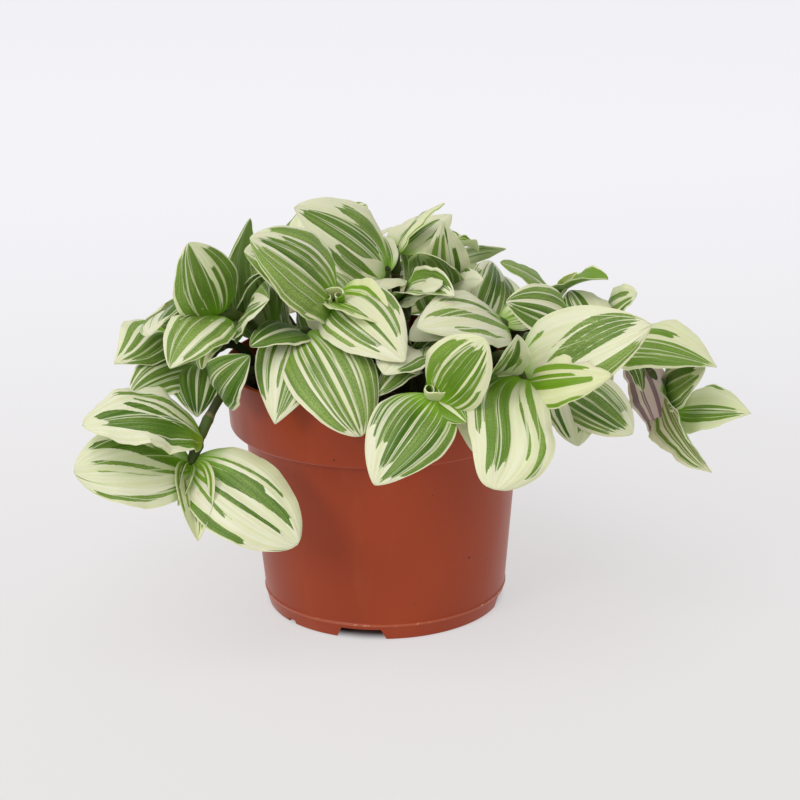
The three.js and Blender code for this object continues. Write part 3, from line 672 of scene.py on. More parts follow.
def add_to_scene(name, data):
    piece = bpy.data.objects.new(name, data)
    bpy.context.scene.collection.objects.link(piece)
    return piece


class Shape:
    """Points, faces and values per point, gathered for one mesh."""

    def __init__(self):
        self.points = []
        self.faces = []
        self.values = {}
        self.uvs = []
        self.count = 0

    def add(self, points, faces, uv=None, **values):
        size = len(points)
        self.points.append(np.asarray(points, float))
        self.faces.extend([tuple(self.count + i for i in face) for face in faces])
        if uv is not None:
            self.uvs.append(uv)
        for name in {**self.values, **values}:
            rows = self.values.setdefault(name, [np.zeros(self.count)] if self.count else [])
            rows.append(np.broadcast_to(np.asarray(values.get(name, 0), float), (size,)))
        self.count += size

    def make(self, name, material, sharp_from=40):
        mesh = bpy.data.meshes.new(name)
        mesh.from_pydata((np.concatenate(self.points) * MM).tolist(), [], self.faces)
        for attribute, rows in self.values.items():
            layer = mesh.attributes.new(attribute, "FLOAT", "POINT")
            layer.data.foreach_set("value", np.concatenate(rows))
        if self.uvs:
            corners = np.zeros(len(mesh.loops), int)
            mesh.loops.foreach_get("vertex_index", corners)
            layer = mesh.uv_layers.new(name="leaf")
            layer.data.foreach_set("uv", np.concatenate(self.uvs)[corners].ravel())
        mesh.shade_smooth()
        mesh.set_sharp_from_angle(angle=math.radians(sharp_from))
        mesh.materials.append(material)
        return add_to_scene(name, mesh)


def grid_faces(rows, columns, first=0, closed=False, flip=False):
    """Faces of a grid of points, row after row; a closed one joins its last column to its first."""
    faces = []
    for i in range(rows - 1):
        for j in range(columns if closed else columns - 1):
            near = first + i * columns
            far = near + columns
            after = (j + 1) % columns
            face = (near + j, near + after, far + after, far + j)
            faces.append(face[::-1] if flip else face)
    return faces


def tube(shape, line, radii, **values):
    """A closed tube along a line of points."""
    sides = STEM_SIDES
    line = np.asarray(line)
    along = np.gradient(line, axis=0)
    along /= np.linalg.norm(along, axis=1)[:, None]
    side = np.cross(along[0], ASKEW)
    rings = []
    for place, ahead, radius in zip(line, along, radii):
        side = unit(side - ahead * (side @ ahead))
        up = np.cross(ahead, side)
        turn = np.linspace(0, 2 * math.pi, sides, endpoint=False)[:, None]
        rings.append(place + radius * (np.cos(turn) * side + np.sin(turn) * up))
    points = np.concatenate(rings)
    rows = len(line)
    faces = grid_faces(rows, sides, closed=True)
    faces.append(tuple(range(sides))[::-1])
    faces.append(tuple(range((rows - 1) * sides, rows * sides)))
    uv = np.stack([
        np.tile(np.linspace(0, 1, sides), rows),
        np.repeat(np.arange(rows), sides) / TUBE_RINGS_PER_UV,
    ], -1)
    shape.add(points, faces, uv, **values)


# Leaves

LEAF_THICKNESS = 0.45
RIM_THICKNESS = 0.22
RIM_POWER = 6
OUTLINE_RISE = 0.50
POINT_SPREAD = (0.92, 1.08)

# A young leaf still rolled up: how far its margins turn, in degrees, and how much tighter further in;
# the share that stays flat, the width unrolled, and how its end is cut off and slants
SCROLL = dict(
    turn=430, tightening=1.15, flat=0.13, width=3.8, end=0.96, slant=0.35, points=200,
    outline=(0.30, 0.25), grid=(16, 44),
)

# Waves of the margins: their height, share of it and number along the leaf, how soon they start, the
# shift from one margin to the other, and a smaller ripple on them
WAVE = dict(height=0.9, share=(0.6, 1), count=(1.5, 3.2), onset=4, shift=2, ripple=0.35, ripple_rate=2.7)
RIB_HEIGHT = 0.16
RIB_SPACING = 5.5
CREASE_SOFT = 0.12

# Rows and columns of a leaf's mesh, and how much closer its rows stand near the ends
LISTED_GRID = (34, 22)
RULED_GRID = (18, 10)
ROW_EASE = 0.1

# Columns follow the edges of the bands. None is narrower than this, and all are evened out a little.
LEAST_COLUMN = 0.01
EVENED = 0.02

# Green bands: how deep inside one is still told apart, how they taper and end, and how ragged the ends
LEVEL_LIMIT = 3.0
BAND_TAPER = 0.25
BAND_END = 0.4
COMB = 0.05
LEAF_UV = 50
UV_SHIFT = 7

# Bands by rule, in shares of the half-width and of the length. A leaf is of one kind, and a stretch
# across it is green by chance, on its paler side or its greener one. Hairlines stand in the cream.
RULED_BANDS = dict(
    kinds=("striped", "half", "cream"), weights=(5, 3, 2),
    chance=dict(striped=(0.85, 0.85), half=(0.25, 0.9), cream=(0.3, 0.3)),
    across=0.95, width=(0.12, 0.42), lean=(-0.03, 0.03), edge=(0.012, 0.05),
    starts=(0, 0, 0, 0.05, 0.25), ends=(0.6, 0.75, 0.85, 0.92, 1.1),
    hairlines=0.4, hairline=0.022, hairline_start=(0.05, 0.5), hairline_length=(0.2, 0.5),
)


def listed_bands(name, number):
    """The green bands that the photo shows on a leaf, as shares."""
    bands = []
    for root, tip, spread, end, shade, *start in BANDS.get(name, {}).get(number, ()):
        bands.append([percent / 100 for percent in (root, tip, spread, *(start or [0]), end, shade)])
    return bands


def seeded_bands(rng):
    """Green bands for a leaf whose marking the photo does not show."""
    rule = RULED_BANDS
    chances = rule["chance"][rng.choices(rule["kinds"], rule["weights"])[0]]
    green_side = rng.choice((-1, 1))
    bands = []
    left = -1.0
    while left < rule["across"]:
        width = rng.uniform(*rule["width"])
        centre = left + width / 2
        left += width
        lean = rng.uniform(*rule["lean"])
        if rng.random() < chances[centre * green_side > 0]:
            spread = width / 2 - rng.uniform(*rule["edge"])
            start = rng.choice(rule["starts"])
            end = rng.choice(rule["ends"])
            bands.append((centre - lean, centre + lean, spread, start, end, rng.random()))
        elif rng.random() < rule["hairlines"]:
            start = rng.uniform(*rule["hairline_start"])
            end = start + rng.uniform(*rule["hairline_length"])
            bands.append((centre - lean, centre + lean, rule["hairline"], start, end, rng.random()))
    return bands


def blade_columns(count, bands):
    """Places across a blade at its root and at its tip, with a column at each edge of each band."""
    lines = [(-1.0, -1.0), (1.0, 1.0)]
    for root, tip, spread, *_ in bands:
        for side in (-1, 0, 1):
            lines.append((root + side * spread, tip + side * spread))
    lines = np.clip(sorted(lines, key=sum), -1, 1)
    lines = np.maximum.accumulate(lines)
    columns = [lines[0]]
    for line in lines[1:]:
        last = columns[-1]
        gap = (line - last).max()
        if gap < LEAST_COLUMN:
            continue
        steps = math.ceil(gap * count / 2)
        for step in range(1, steps + 1):
            columns.append(last + (line - last) * step / steps)
    columns[-1] = lines[-1]
    even = np.linspace(-1, 1, len(columns))[:, None]
    return np.array(columns) * (1 - EVENED) + even * EVENED


def band_level(leaf, bands, along, across, jitter):
    """How far each point lies inside a green band, in millimetres, and the band's tone there."""
    half = leaf["width"] / 2
    level = np.full(along.shape, -LEVEL_LIMIT)
    tone = np.zeros(along.shape)
    for root, tip, spread, start, end, shade in bands:
        off = np.abs(across - (root + (tip - root) * along))
        tapered = spread * np.clip((along - start) / BAND_TAPER, 0, 1) if start else spread
        before = (end + COMB * jitter - along) * leaf["length"] * BAND_END
        inside = np.minimum((tapered - off) * half, before)
        tone = np.where(inside > level, shade, tone)
        level = np.maximum(level, inside)
    return np.clip(level, -LEVEL_LIMIT, LEVEL_LIMIT), tone


def blade_faces(rows, wide, rolled):
    """Faces of a closed blade: an upper and a lower grid, one after the other, and a tip point."""
    size = rows * wide
    tip = 2 * size
    faces = grid_faces(rows, wide)
    faces += grid_faces(rows, wide, first=size, flip=True)
    for i in range(rows - 1):
        left = i * wide
        right = left + wide - 1
        faces.append((left, left + wide, size + left + wide, size + left))
        faces.append((right + wide, right, size + right, size + right + wide))
    near = size - wide
    for j in range(wide - 1):
        faces.append((j + 1, j, size + j, size + j + 1))
        if rolled:
            faces.append((near + j, near + j + 1, size + near + j + 1, size + near + j))
        else:
            faces.append((near + j, near + j + 1, tip))
            faces.append((size + near + j + 1, size + near + j, tip))
    if not rolled:
        faces.append((near, tip, size + near))
        faces.append((tip, near + wide - 1, size + near + wide - 1))
    return faces


def blade_relief(leaf, along, across, half, rng):
    """How far the blade's surface is raised by its wavy margins, ribs and softened crease."""
    waves = rng.uniform(*WAVE["count"])
    phase = rng.uniform(0, 2 * math.pi)
    height = WAVE["height"] * leaf["wave"] * rng.uniform(*WAVE["share"])
    turn = 2 * math.pi * waves * along + np.where(across > 0, phase, phase + WAVE["shift"])
    narrowed = half / (leaf["width"] / 2) * np.minimum(1, WAVE["onset"] * along)
    margin = across ** 2 * (np.sin(turn) + WAVE["ripple"] * np.sin(WAVE["ripple_rate"] * turn))
    ribs = (1 - across ** 2) * np.cos(2 * math.pi * across * leaf["width"] / 2 / RIB_SPACING + phase)
    soft = math.hypot(1, CREASE_SOFT) - CREASE_SOFT
    crease = (np.hypot(across, CREASE_SOFT) - CREASE_SOFT) / soft - np.abs(across)
    return narrowed * (height * margin + RIB_HEIGHT * ribs) + half * BLADE_FOLD * crease


def add_leaf(shape, shoot, leaf, bands, rng):
    """A closed blade with its relief, and the values that its look is made of."""
    rolled = leaf["rolled"]
    if rolled:
        rows, count = SCROLL["grid"]
        section = rolled_section
        leaf["outline"] = SCROLL["outline"]
    else:
        rows, count = RULED_GRID if leaf["by_rule"] else LISTED_GRID
        section = open_section
        leaf["outline"] = (OUTLINE_RISE, leaf["point"] * rng.uniform(*POINT_SPREAD))
    axes = leaf_axes(shoot, leaf)
    t = np.linspace(0, 1, rows + 1)[:-1]
    u = t * SCROLL["end"] if rolled else t - ROW_EASE * np.sin(2 * math.pi * t)
    v = blade_columns(count, () if rolled else bands)
    along = np.repeat(u, len(v))
    across = (v[:, 0] + np.multiply.outer(u, v[:, 1] - v[:, 0])).ravel()
    if rolled:
        along = along * (1 - SCROLL["slant"] * np.abs(across))
    half = half_width(leaf, along)
    jitter = np.tile([rng.uniform(-1, 1) for _ in v], rows)
    raised = np.zeros(along.shape) if rolled else blade_relief(leaf, along, across, half, rng)
    thick = RIM_THICKNESS + (LEAF_THICKNESS - RIM_THICKNESS) * (1 - across ** RIM_POWER)
    upper = blade_points(leaf, axes, along, across, thick / 2, raised, section)
    lower = blade_points(leaf, axes, along, across, -thick / 2, raised, section)
    level, tone = band_level(leaf, bands, along, across, jitter)
    shift = rng.random() * UV_SHIFT
    uv = np.stack([across * leaf["width"] / 2, along * leaf["length"]], -1) / LEAF_UV + shift
    points = [upper, lower]
    uvs = [uv, uv]
    values = dict(level=level, tone=tone, along=along, rim=np.abs(across))
    values = {name: np.tile(value, 2) for name, value in values.items()}
    values["under"] = np.repeat((0.0, 0.0 if rolled else 1.0), len(along))
    if not rolled:
        points.append(blade_points(leaf, axes, np.ones(1), np.zeros(1), np.zeros(1)))
        uvs.append(uv[-1:])
        at_tip = dict(level=level[-len(v):].mean(), tone=0.5, along=1.0, rim=1.0, under=0.5)
        values = {name: np.append(value, at_tip[name]) for name, value in values.items()}
    shape.add(
        np.concatenate(points), blade_faces(rows, len(v), rolled), np.concatenate(uvs),
        young=leaf["young"], mauve=leaf["mauve"], **values,
    )


# Stems

def add_stem(shape, shoot, leaves):
    """A jointed stem, with a pale node and a sheath below each leaf."""
    line = stem_line(shoot)
    steps = np.linalg.norm(np.diff(line, axis=0), axis=1)
    back = np.concatenate([[0], np.cumsum(steps[::-1])])[::-1]
    radii = STEM_RADIUS * (1 - STEM_TAPER + STEM_TAPER * (back / back[0]))
    paler = np.zeros(len(back))
    roots = sorted({leaf["back"] for leaf in leaves})
    for root in roots:
        near_node = np.exp(-((back - root - SHEATH["length"]) / NODE_LENGTH) ** 2)
        radii = radii + NODE_SWELL * near_node
        paler = np.maximum(paler, near_node)
    radii[-1] *= STEM_END
    tube(shape, line, radii, stem=1.0, node=np.repeat(paler, STEM_SIDES), level=0.0)
    for root in roots:
        last = max(root - SHEATH["beyond"], LEAST_BACK)
        backs = np.linspace(root + SHEATH["length"], last, SHEATH["rings"])
        sheath = [stem_node(shoot, b)[0] for b in backs]
        radius = np.interp(backs, back[::-1], radii[::-1]) + SHEATH["proud"]
        radius[0] -= SHEATH["proud"] * SHEATH["sunk"]
        radius[-1] -= SHEATH["proud"] * SHEATH["fitted"]
        tube(shape, sheath, radius, stem=0.5, level=0.0)


# Pot

def body_radius(height):
    """The radius of the pot's tapered wall, from the ridge up to the step."""
    share = (height - RIDGE_HEIGHT) / (BAND_FOOT_HEIGHT - RIDGE_HEIGHT)
    return RIDGE_RADIUS + (NECK_RADIUS - RIDGE_RADIUS) * share


def band_radius(height):
    """The radius of the pot's rim band, from the step up to the rim."""
    share = (height - BAND_FOOT_HEIGHT) / (POT_HEIGHT - BAND_FOOT_HEIGHT)
    return BAND_FOOT_RADIUS + (RIM_RADIUS - BAND_FOOT_RADIUS) * share


def rounded(corners, steps=4):
    """A profile whose corners (radius, height, rounding) are rounded off."""
    points = []
    for i, (radius, height, rounding) in enumerate(corners):
        here = np.array((radius, height), float)
        if rounding == 0:
            points.append(here)
            continue
        before = np.array(corners[i - 1][:2], float)
        after = np.array(corners[i + 1][:2], float)
        first = here + unit(before - here) * rounding
        last = here + unit(after - here) * rounding
        for t in np.linspace(0, 1, steps + 1):
            points.append((1 - t) ** 2 * first + 2 * (1 - t) * t * here + t ** 2 * last)
    return np.array(points)


def lathe(shape, profile, sides, **values):
    """A closed solid turned about the axis, on which the profile starts and ends.

    The first column stands half a step round, clear of the middle planes of the cuts.
    """
    inner = profile[1:-1]
    turn = (np.arange(sides) + 0.5) * 2 * math.pi / sides
    rings = np.stack([
        np.outer(inner[:, 0], np.cos(turn)),
        np.outer(inner[:, 0], np.sin(turn)),
        np.repeat(inner[:, 1:2], sides, axis=1),
    ], -1).reshape(-1, 3)
    ends = np.array([(0, 0, profile[0][1]), (0, 0, profile[-1][1])])
    rows = len(inner)
    faces = grid_faces(rows, sides, closed=True)
    start = rows * sides
    for j in range(sides):
        after = (j + 1) % sides
        faces.append((start, after, j))
        faces.append((start + 1, (rows - 1) * sides + j, (rows - 1) * sides + after))
    shape.add(np.concatenate([rings, ends]), faces, **values)


def cut_with(piece, cutters):
    """Cuts the solids out of the piece and applies the result to its mesh."""
    for cutter in cutters:
        cut = piece.modifiers.new("cut", "BOOLEAN")
        cut.operation = "DIFFERENCE"
        cut.solver = "EXACT"
        cut.object = cutter
    evaluated = piece.evaluated_get(bpy.context.evaluated_depsgraph_get())
    mesh = bpy.data.meshes.new_from_object(evaluated)
    cleaned = bmesh.new()
    cleaned.from_mesh(mesh)
    bmesh.ops.remove_doubles(cleaned, verts=cleaned.verts, dist=LEAST_EDGE * MM)
    bmesh.ops.triangulate(cleaned, faces=[face for face in cleaned.faces if len(face.verts) > 4])
    cleaned.to_mesh(mesh)
    cleaned.free()
    piece.modifiers.clear()
    piece.data = mesh
    for cutter in cutters:
        bpy.data.objects.remove(cutter)


def foot_cutter(cut, angle):
    """A block with sloping sides, across the foot's wall at an angle in degrees."""
    shape = Shape()
    near = FOOT_RADIUS - CUT_DEPTH / 2
    half_floor = cut["floor"] / 2
    half_top = cut["top"] / 2
    outline = [
        (-half_floor, -CUT_BELOW), (half_floor, -CUT_BELOW),
        (half_top, cut["height"]), (-half_top, cut["height"]),
    ]
    points = [(near + out, y, z) for out in (0, CUT_DEPTH) for y, z in outline]
    faces = [(3, 2, 1, 0), (4, 5, 6, 7), (0, 1, 5, 4), (1, 2, 6, 5), (2, 3, 7, 6), (3, 0, 4, 7)]
    turn = Matrix.Rotation(math.radians(angle), 3, "Z")
    shape.add([turn @ Vector(point) for point in points], faces)
    return shape.make("cutter", None)


def drain_cutter(angle):
    """A round bar through the channel's floor, at an angle in radians."""
    shape = Shape()
    low = CHANNEL_HEIGHT + POT_WALL / 2 - DRAIN["depth"] / 2
    high = low + DRAIN["depth"]
    profile = [(0, low), (DRAIN["radius"], low), (DRAIN["radius"], high), (0, high)]
    lathe(shape, np.array(profile), DRAIN["sides"])
    shape.points[0] += DRAIN["circle"] * np.array((math.cos(angle), math.sin(angle), 0))
    return shape.make("cutter", None)


def make_pot(material):
    """The pot, turned from one closed profile, with the cuts in its foot and its drain holes."""
    corners = [
        (0, 0, 0),
        (DISC_RADIUS, 0, 0.8),
        (CHANNEL_INNER_RADIUS, CHANNEL_HEIGHT, 0.8),
        (FOOT_RADIUS - POT_WALL, CHANNEL_HEIGHT, 0.5),
        (FOOT_RADIUS - POT_WALL, 0, 0.4),
        (FOOT_RADIUS, 0, 0.5),
        (RIDGE_RADIUS, RIDGE_HEIGHT - RIDGE_HALF, 0.3),
        (RIDGE_RADIUS + RIDGE_PROUD, RIDGE_HEIGHT, 0.5),
        (RIDGE_RADIUS, RIDGE_HEIGHT + RIDGE_HALF, 0.3),
        *[(body_radius(height), height, 0) for height in WALL_RINGS],
        (NECK_RADIUS, BAND_FOOT_HEIGHT - STEP_SLOPE, 0.8),
        (BAND_FOOT_RADIUS, BAND_FOOT_HEIGHT, 0.9),
        *[(band_radius(height), height, 0) for height in BAND_RINGS],
        (RIM_RADIUS, POT_HEIGHT - RIM_BEVEL, 0.25),
        (RIM_RADIUS - RIM_BEVEL, POT_HEIGHT, 0.2),
        (RIM_RADIUS - POT_WALL, POT_HEIGHT, 0.3),
        (band_radius(LEDGE) - POT_WALL, LEDGE, 0.8),
        (NECK_RADIUS - POT_WALL, LEDGE - STEP_SLOPE, 0.8),
        (body_radius(FLOOR_TOP) - POT_WALL, FLOOR_TOP, 1),
        (CHANNEL_INNER_RADIUS - POT_WALL / 2, FLOOR_TOP, 0.8),
        (DISC_RADIUS - POT_WALL / 2, POT_WALL, 0.8),
        (0, POT_WALL, 0),
    ]
    shape = Shape()
    lathe(shape, rounded(corners), POT_SIDES)
    pot = shape.make("pot_shell", material, POT_SHARP_FROM)
    cutters = [
        foot_cutter(cut, cut["first"] + i * CUT_TURN)
        for cut in (NOTCH, VENT)
        for i in range(cut["count"])
    ]
    cutters += [drain_cutter(2 * math.pi * i / DRAIN["count"]) for i in range(DRAIN["count"])]
    cut_with(pot, cutters)
    pot.data.set_sharp_from_angle(angle=math.radians(POT_SHARP_FROM))
    return pot


# Soil

def make_soil(material):
    """The soil, which fills the pot with a small gap to it, with lumps and crumbs on top."""
    wall = POT_WALL + GAP
    outer = band_radius(SOIL_TOP) - wall
    crown = [(outer * (1 - t), SOIL_TOP + SOIL_CROWN * t) for t in np.linspace(0, 1, SOIL_RINGS)]
    profile = np.array([
        (0, POT_WALL + GAP),
        (DISC_RADIUS - wall, POT_WALL + GAP),
        (CHANNEL_INNER_RADIUS - wall, FLOOR_TOP + GAP),
        (body_radius(FLOOR_TOP) - wall, FLOOR_TOP + GAP),
        (NECK_RADIUS - wall, LEDGE - STEP_SLOPE + GAP),
        (band_radius(LEDGE) - wall - GAP, LEDGE + GAP),
        *crown,
    ])
    rng = random.Random(SEED + 1)
    shape = Shape()
    lathe(shape, profile, SOIL_SIDES)
    raise_lumps(shape.points[0], rng)
    for _ in range(CRUMBS["count"]):
        angle = rng.uniform(0, 2 * math.pi)
        out = outer * math.sqrt(rng.random()) * CRUMBS["spread"]
        place = (out * math.cos(angle), out * math.sin(angle), SOIL_TOP + CRUMBS["raised"])
        add_crumb(shape, place, rng)
    return shape.make("soil_bed", material, SOIL_SHARP_FROM)


def raise_lumps(points, rng):
    """Raises and sinks the points of the soil's top in round lumps."""
    spread = LUMPS["spread"]
    lumps = [
        (
            rng.uniform(-spread, spread), rng.uniform(-spread, spread),
            rng.uniform(*LUMPS["reach"]), rng.uniform(*LUMPS["height"]),
        )
        for _ in range(LUMPS["count"])
    ]
    on_top = points[:, 2] > SOIL_TOP - GAP
    for x, y, reach, height in lumps:
        away = np.hypot(points[:, 0] - x, points[:, 1] - y) / reach
        points[:, 2] += np.where(on_top & (away < 1), height * (1 - away ** 2) ** 2, 0)


def add_crumb(shape, place, rng):
    """A small ball with an uneven surface."""
    ball = bmesh.new()
    bmesh.ops.create_icosphere(ball, subdivisions=2, radius=1)
    size = rng.uniform(*CRUMBS["radius"])
    x_rate, y_rate = CRUMBS["rates"]
    points = []
    for corner in ball.verts:
        uneven = CRUMBS["rough"] * math.sin(x_rate * corner.co.x + place[0])
        uneven *= math.cos(y_rate * corner.co.y + place[1])
        points.append(Vector(place) + corner.co * size * (1 + uneven))
    shape.add(points, [[corner.index for corner in face.verts] for face in ball.faces])
    ball.free()


# Materials

def srgb(red, green, blue):
    """The colour that shows as these sRGB values of 0 to 255."""
    def linear(value):
        share = value / 255
        return share / 12.92 if share <= 0.04045 else ((share + 0.055) / 1.055) ** 2.4
    return (linear(red), linear(green), linear(blue), 1)


# The lime towards a leaf's root is its own colour, made brighter as painted light against the shade among
# the stems
LEAF_COLOURS = dict(
    green=srgb(66, 104, 8), greyish=srgb(150, 174, 88), hairline=srgb(168, 190, 112),
    mottle=srgb(58, 96, 10), young_green=srgb(118, 160, 14), lime_root_and_painted_light=srgb(122, 172, 18),
    cream=srgb(230, 230, 202), yellow_cream=srgb(219, 221, 178), young_cream=srgb(216, 224, 140),
    margin=srgb(226, 230, 184), root=srgb(142, 186, 50), underside=srgb(168, 202, 118),
    pale_mauve=srgb(230, 206, 212), mauve=srgb(166, 122, 150),
)
STEM_COLOURS = dict(
    sheath=srgb(80, 100, 40), stem=srgb(54, 64, 28), node=srgb(134, 124, 80), speckle=srgb(84, 70, 52),
)
# Of the pot's colours, ridge is a painted highlight along the ridge near the foot
POT_COLOURS = dict(
    dark=srgb(149, 56, 22), light=srgb(164, 63, 25), wiped=srgb(190, 100, 64),
    ridge=srgb(206, 116, 84), scuff=srgb(232, 172, 142), speck=srgb(70, 34, 22),
    sheen=srgb(255, 226, 220),
)
SOIL_COLOURS = dict(dark=srgb(28, 21, 15), light=srgb(84, 64, 44))
# The floor's near and far colours are painted light fall-off: darker near the pot, lighter far off
FLOOR_COLOURS_WITH_PAINTED_FALLOFF = dict(near=srgb(226, 224, 223), far=srgb(243, 242, 246), unlit=(0, 0, 0, 1))

# Noise on a leaf: how often it changes across the leaf and along it, and its detail
LEAF_NOISE = dict(
    veins=(46, 0.35, 0), fine=(150, 3, 1), sectors=(26, 0.9, 1), sheen=(5, 2.5, 1), grain=(110, 70, 2),
)
LEAF_RELIEF = 0.0002
LIGHT_IN_LEAF = dict(
    Subsurface_Weight=0.25, Subsurface_Radius=(0.5, 1, 0.25), Subsurface_Scale=0.0012,
)

# Noise on the pot: how it is stretched upright, how often it changes in a metre, detail and roughness
POT_NOISE = dict(
    cloud=(0.7, 20, 1, 0.5), wipes=(0.3, 90, 2, 0.5), grain=(1, 1400, 2, 0.5),
    specks=(1, 420, 1, 0.5), scratches=(1, 380, 5, 0.75),
)
POT_RELIEF = 0.00003

# How far from the ridge, in metres, the line on it ends and is full: a painted highlight along the ridge,
# where the scuffs lie too
RIDGE_HIGHLIGHT_AND_WEAR = (0.0006, 0.0002)

SOIL_NOISE = dict(scale=500, detail=6, rough=0.7)
SOIL_RELIEF = 0.0008


class Look:
    """A material, with short calls for the nodes that it is made of."""

    def __init__(self, name):
        self.material = bpy.data.materials.new(name)
        self.material.use_nodes = True
        self.tree = self.material.node_tree
        self.tree.nodes.clear()
        output = self.node("OutputMaterial")
        self.shader = self.node("BsdfPrincipled")
        self.tree.links.new(self.shader.outputs[0], output.inputs[0])

    def node(self, kind):
        return self.tree.nodes.new(f"ShaderNode{kind}")

    def feed(self, socket, value):
        if isinstance(value, bpy.types.NodeSocket):
            self.tree.links.new(value, socket)
        else:
            socket.default_value = value

    def surface(self, **inputs):
        for name, value in inputs.items():
            self.feed(self.shader.inputs[name.replace("_", " ")], value)

    def value(self, name):
        node = self.node("Attribute")
        node.attribute_name = name
        return node.outputs["Fac"]

    def math(self, operation, first, second=0.0, third=0.0, clamp=False):
        node = self.node("Math")
        node.operation = operation
        node.use_clamp = clamp
        for socket, value in zip(node.inputs, (first, second, third)):
            self.feed(socket, value)
        return node.outputs[0]

    def ramp(self, value, low, high, to=1.0, start=0.0):
        """An amount that is eased from start, where the value is at low, up to its last at high."""
        node = self.node("MapRange")
        node.interpolation_type = "SMOOTHSTEP"
        for socket, given in zip(node.inputs, (value, low, high, start, to)):
            self.feed(socket, given)
        return node.outputs[0]

    def varied(self, value, noise, spread, clamp=False):
        """The value, raised and lowered by a noise of 0 to 1 over the spread."""
        return self.math("ADD", value, self.math("MULTIPLY_ADD", noise, spread, -spread / 2), clamp=clamp)

    def mix(self, share, first, second):
        node = self.node("Mix")
        node.data_type = "RGBA"
        # Of the colours, this node has the inputs 6 and 7 and the output 2
        self.feed(node.inputs[0], share)
        self.feed(node.inputs[6], first)
        self.feed(node.inputs[7], second)
        return node.outputs[2]

    def place(self, scale=(1, 1, 1), uv=None):
        """Places on the surface, in metres or along the named UV map, times the scale."""
        if uv:
            source = self.node("UVMap")
            source.uv_map = uv
            start = source.outputs[0]
        else:
            start = self.node("TexCoord").outputs["Object"]
        node = self.node("Mapping")
        self.feed(node.inputs["Vector"], start)
        node.inputs["Scale"].default_value = scale
        return node.outputs[0]

    def axis(self, place, index):
        """One of the three measures of a place."""
        node = self.node("SeparateXYZ")
        self.feed(node.inputs[0], place)
        return node.outputs[index]

    def noise(self, place, scale, detail, rough=0.5):
        node = self.node("TexNoise")
        self.feed(node.inputs["Vector"], place)
        node.inputs["Scale"].default_value = scale
        node.inputs["Detail"].default_value = detail
        node.inputs["Roughness"].default_value = rough
        return node.outputs["Fac"]

    def bump(self, height, distance):
        node = self.node("Bump")
        node.inputs["Distance"].default_value = distance
        self.feed(node.inputs["Height"], height)
        return node.outputs[0]


def foliage_look():
    """Cream leaves with green bands, where level is above zero, and green stems."""
    look = Look("leaf_and_stem")
    colour = LEAF_COLOURS
    noise = {
        name: look.noise(look.place((across, along, 1), "leaf"), 1, detail)
        for name, (across, along, detail) in LEAF_NOISE.items()
    }
    young = look.value("young")
    along = look.value("along")
    mauve = look.value("mauve")

    level = look.varied(look.value("level"), noise["fine"], 0.7)
    vein = look.ramp(noise["veins"], 0.65, 0.7, to=0.7)
    banded = look.math("SUBTRACT", look.ramp(level, -0.1, 0.1), vein, clamp=True)

    tone = look.varied(look.value("tone"), noise["sectors"], 1.2)
    tone = look.varied(tone, noise["sheen"], 0.8, clamp=True)
    green = look.mix(tone, colour["green"], colour["greyish"])
    green = look.mix(look.ramp(noise["fine"], 0.5, 0.75, to=0.45), green, colour["hairline"])
    green = look.mix(look.ramp(noise["grain"], 0.42, 0.66, to=0.5), green, colour["mottle"])
    green = look.mix(look.math("MULTIPLY", young, 0.9), green, colour["young_green"])
    # Lime towards the root: the leaf's own colour, made brighter there as painted light against the shade
    # among the stems
    green = look.mix(look.ramp(along, 0.4, 0, to=0.85), green, colour["lime_root_and_painted_light"])

    cream = look.mix(look.ramp(noise["sectors"], 0.3, 0.7), colour["cream"], colour["yellow_cream"])
    cream = look.mix(look.math("MULTIPLY", young, 0.5), cream, colour["young_cream"])

    top = look.mix(banded, cream, green)
    top = look.mix(look.ramp(look.value("rim"), 0.935, 0.97, to=0.85), top, colour["margin"])
    # Paler lime at the very root: the leaf's own colour, partly painted light against the shade there
    top = look.mix(look.ramp(along, 0.22, 0.02, to=0.85), top, colour["root"])
    veiled = look.mix(mauve, colour["underside"], look.mix(banded, colour["pale_mauve"], colour["mauve"]))
    under = look.mix(look.math("MULTIPLY_ADD", mauve, 0.45, 0.3), top, veiled)
    leaf = look.mix(look.value("under"), top, under)

    on_stem = look.value("stem")
    stem = look.mix(look.ramp(on_stem, 0.5, 1), STEM_COLOURS["sheath"], STEM_COLOURS["stem"])
    stem = look.mix(look.value("node"), stem, STEM_COLOURS["node"])
    stem = look.mix(look.ramp(noise["grain"], 0.4, 0.7, to=0.3), stem, STEM_COLOURS["speckle"])

    relief = look.math("MULTIPLY_ADD", noise["veins"], 0.7, look.math("MULTIPLY", noise["fine"], 0.3))
    look.surface(
        Base_Color=look.mix(look.ramp(on_stem, 0.2, 0.5), leaf, stem),
        Roughness=look.ramp(noise["grain"], 0.2, 0.8, start=0.36, to=0.5),
        Specular_IOR_Level=0.26,
        Normal=look.bump(relief, LEAF_RELIEF),
        **LIGHT_IN_LEAF,
    )
    return look.material


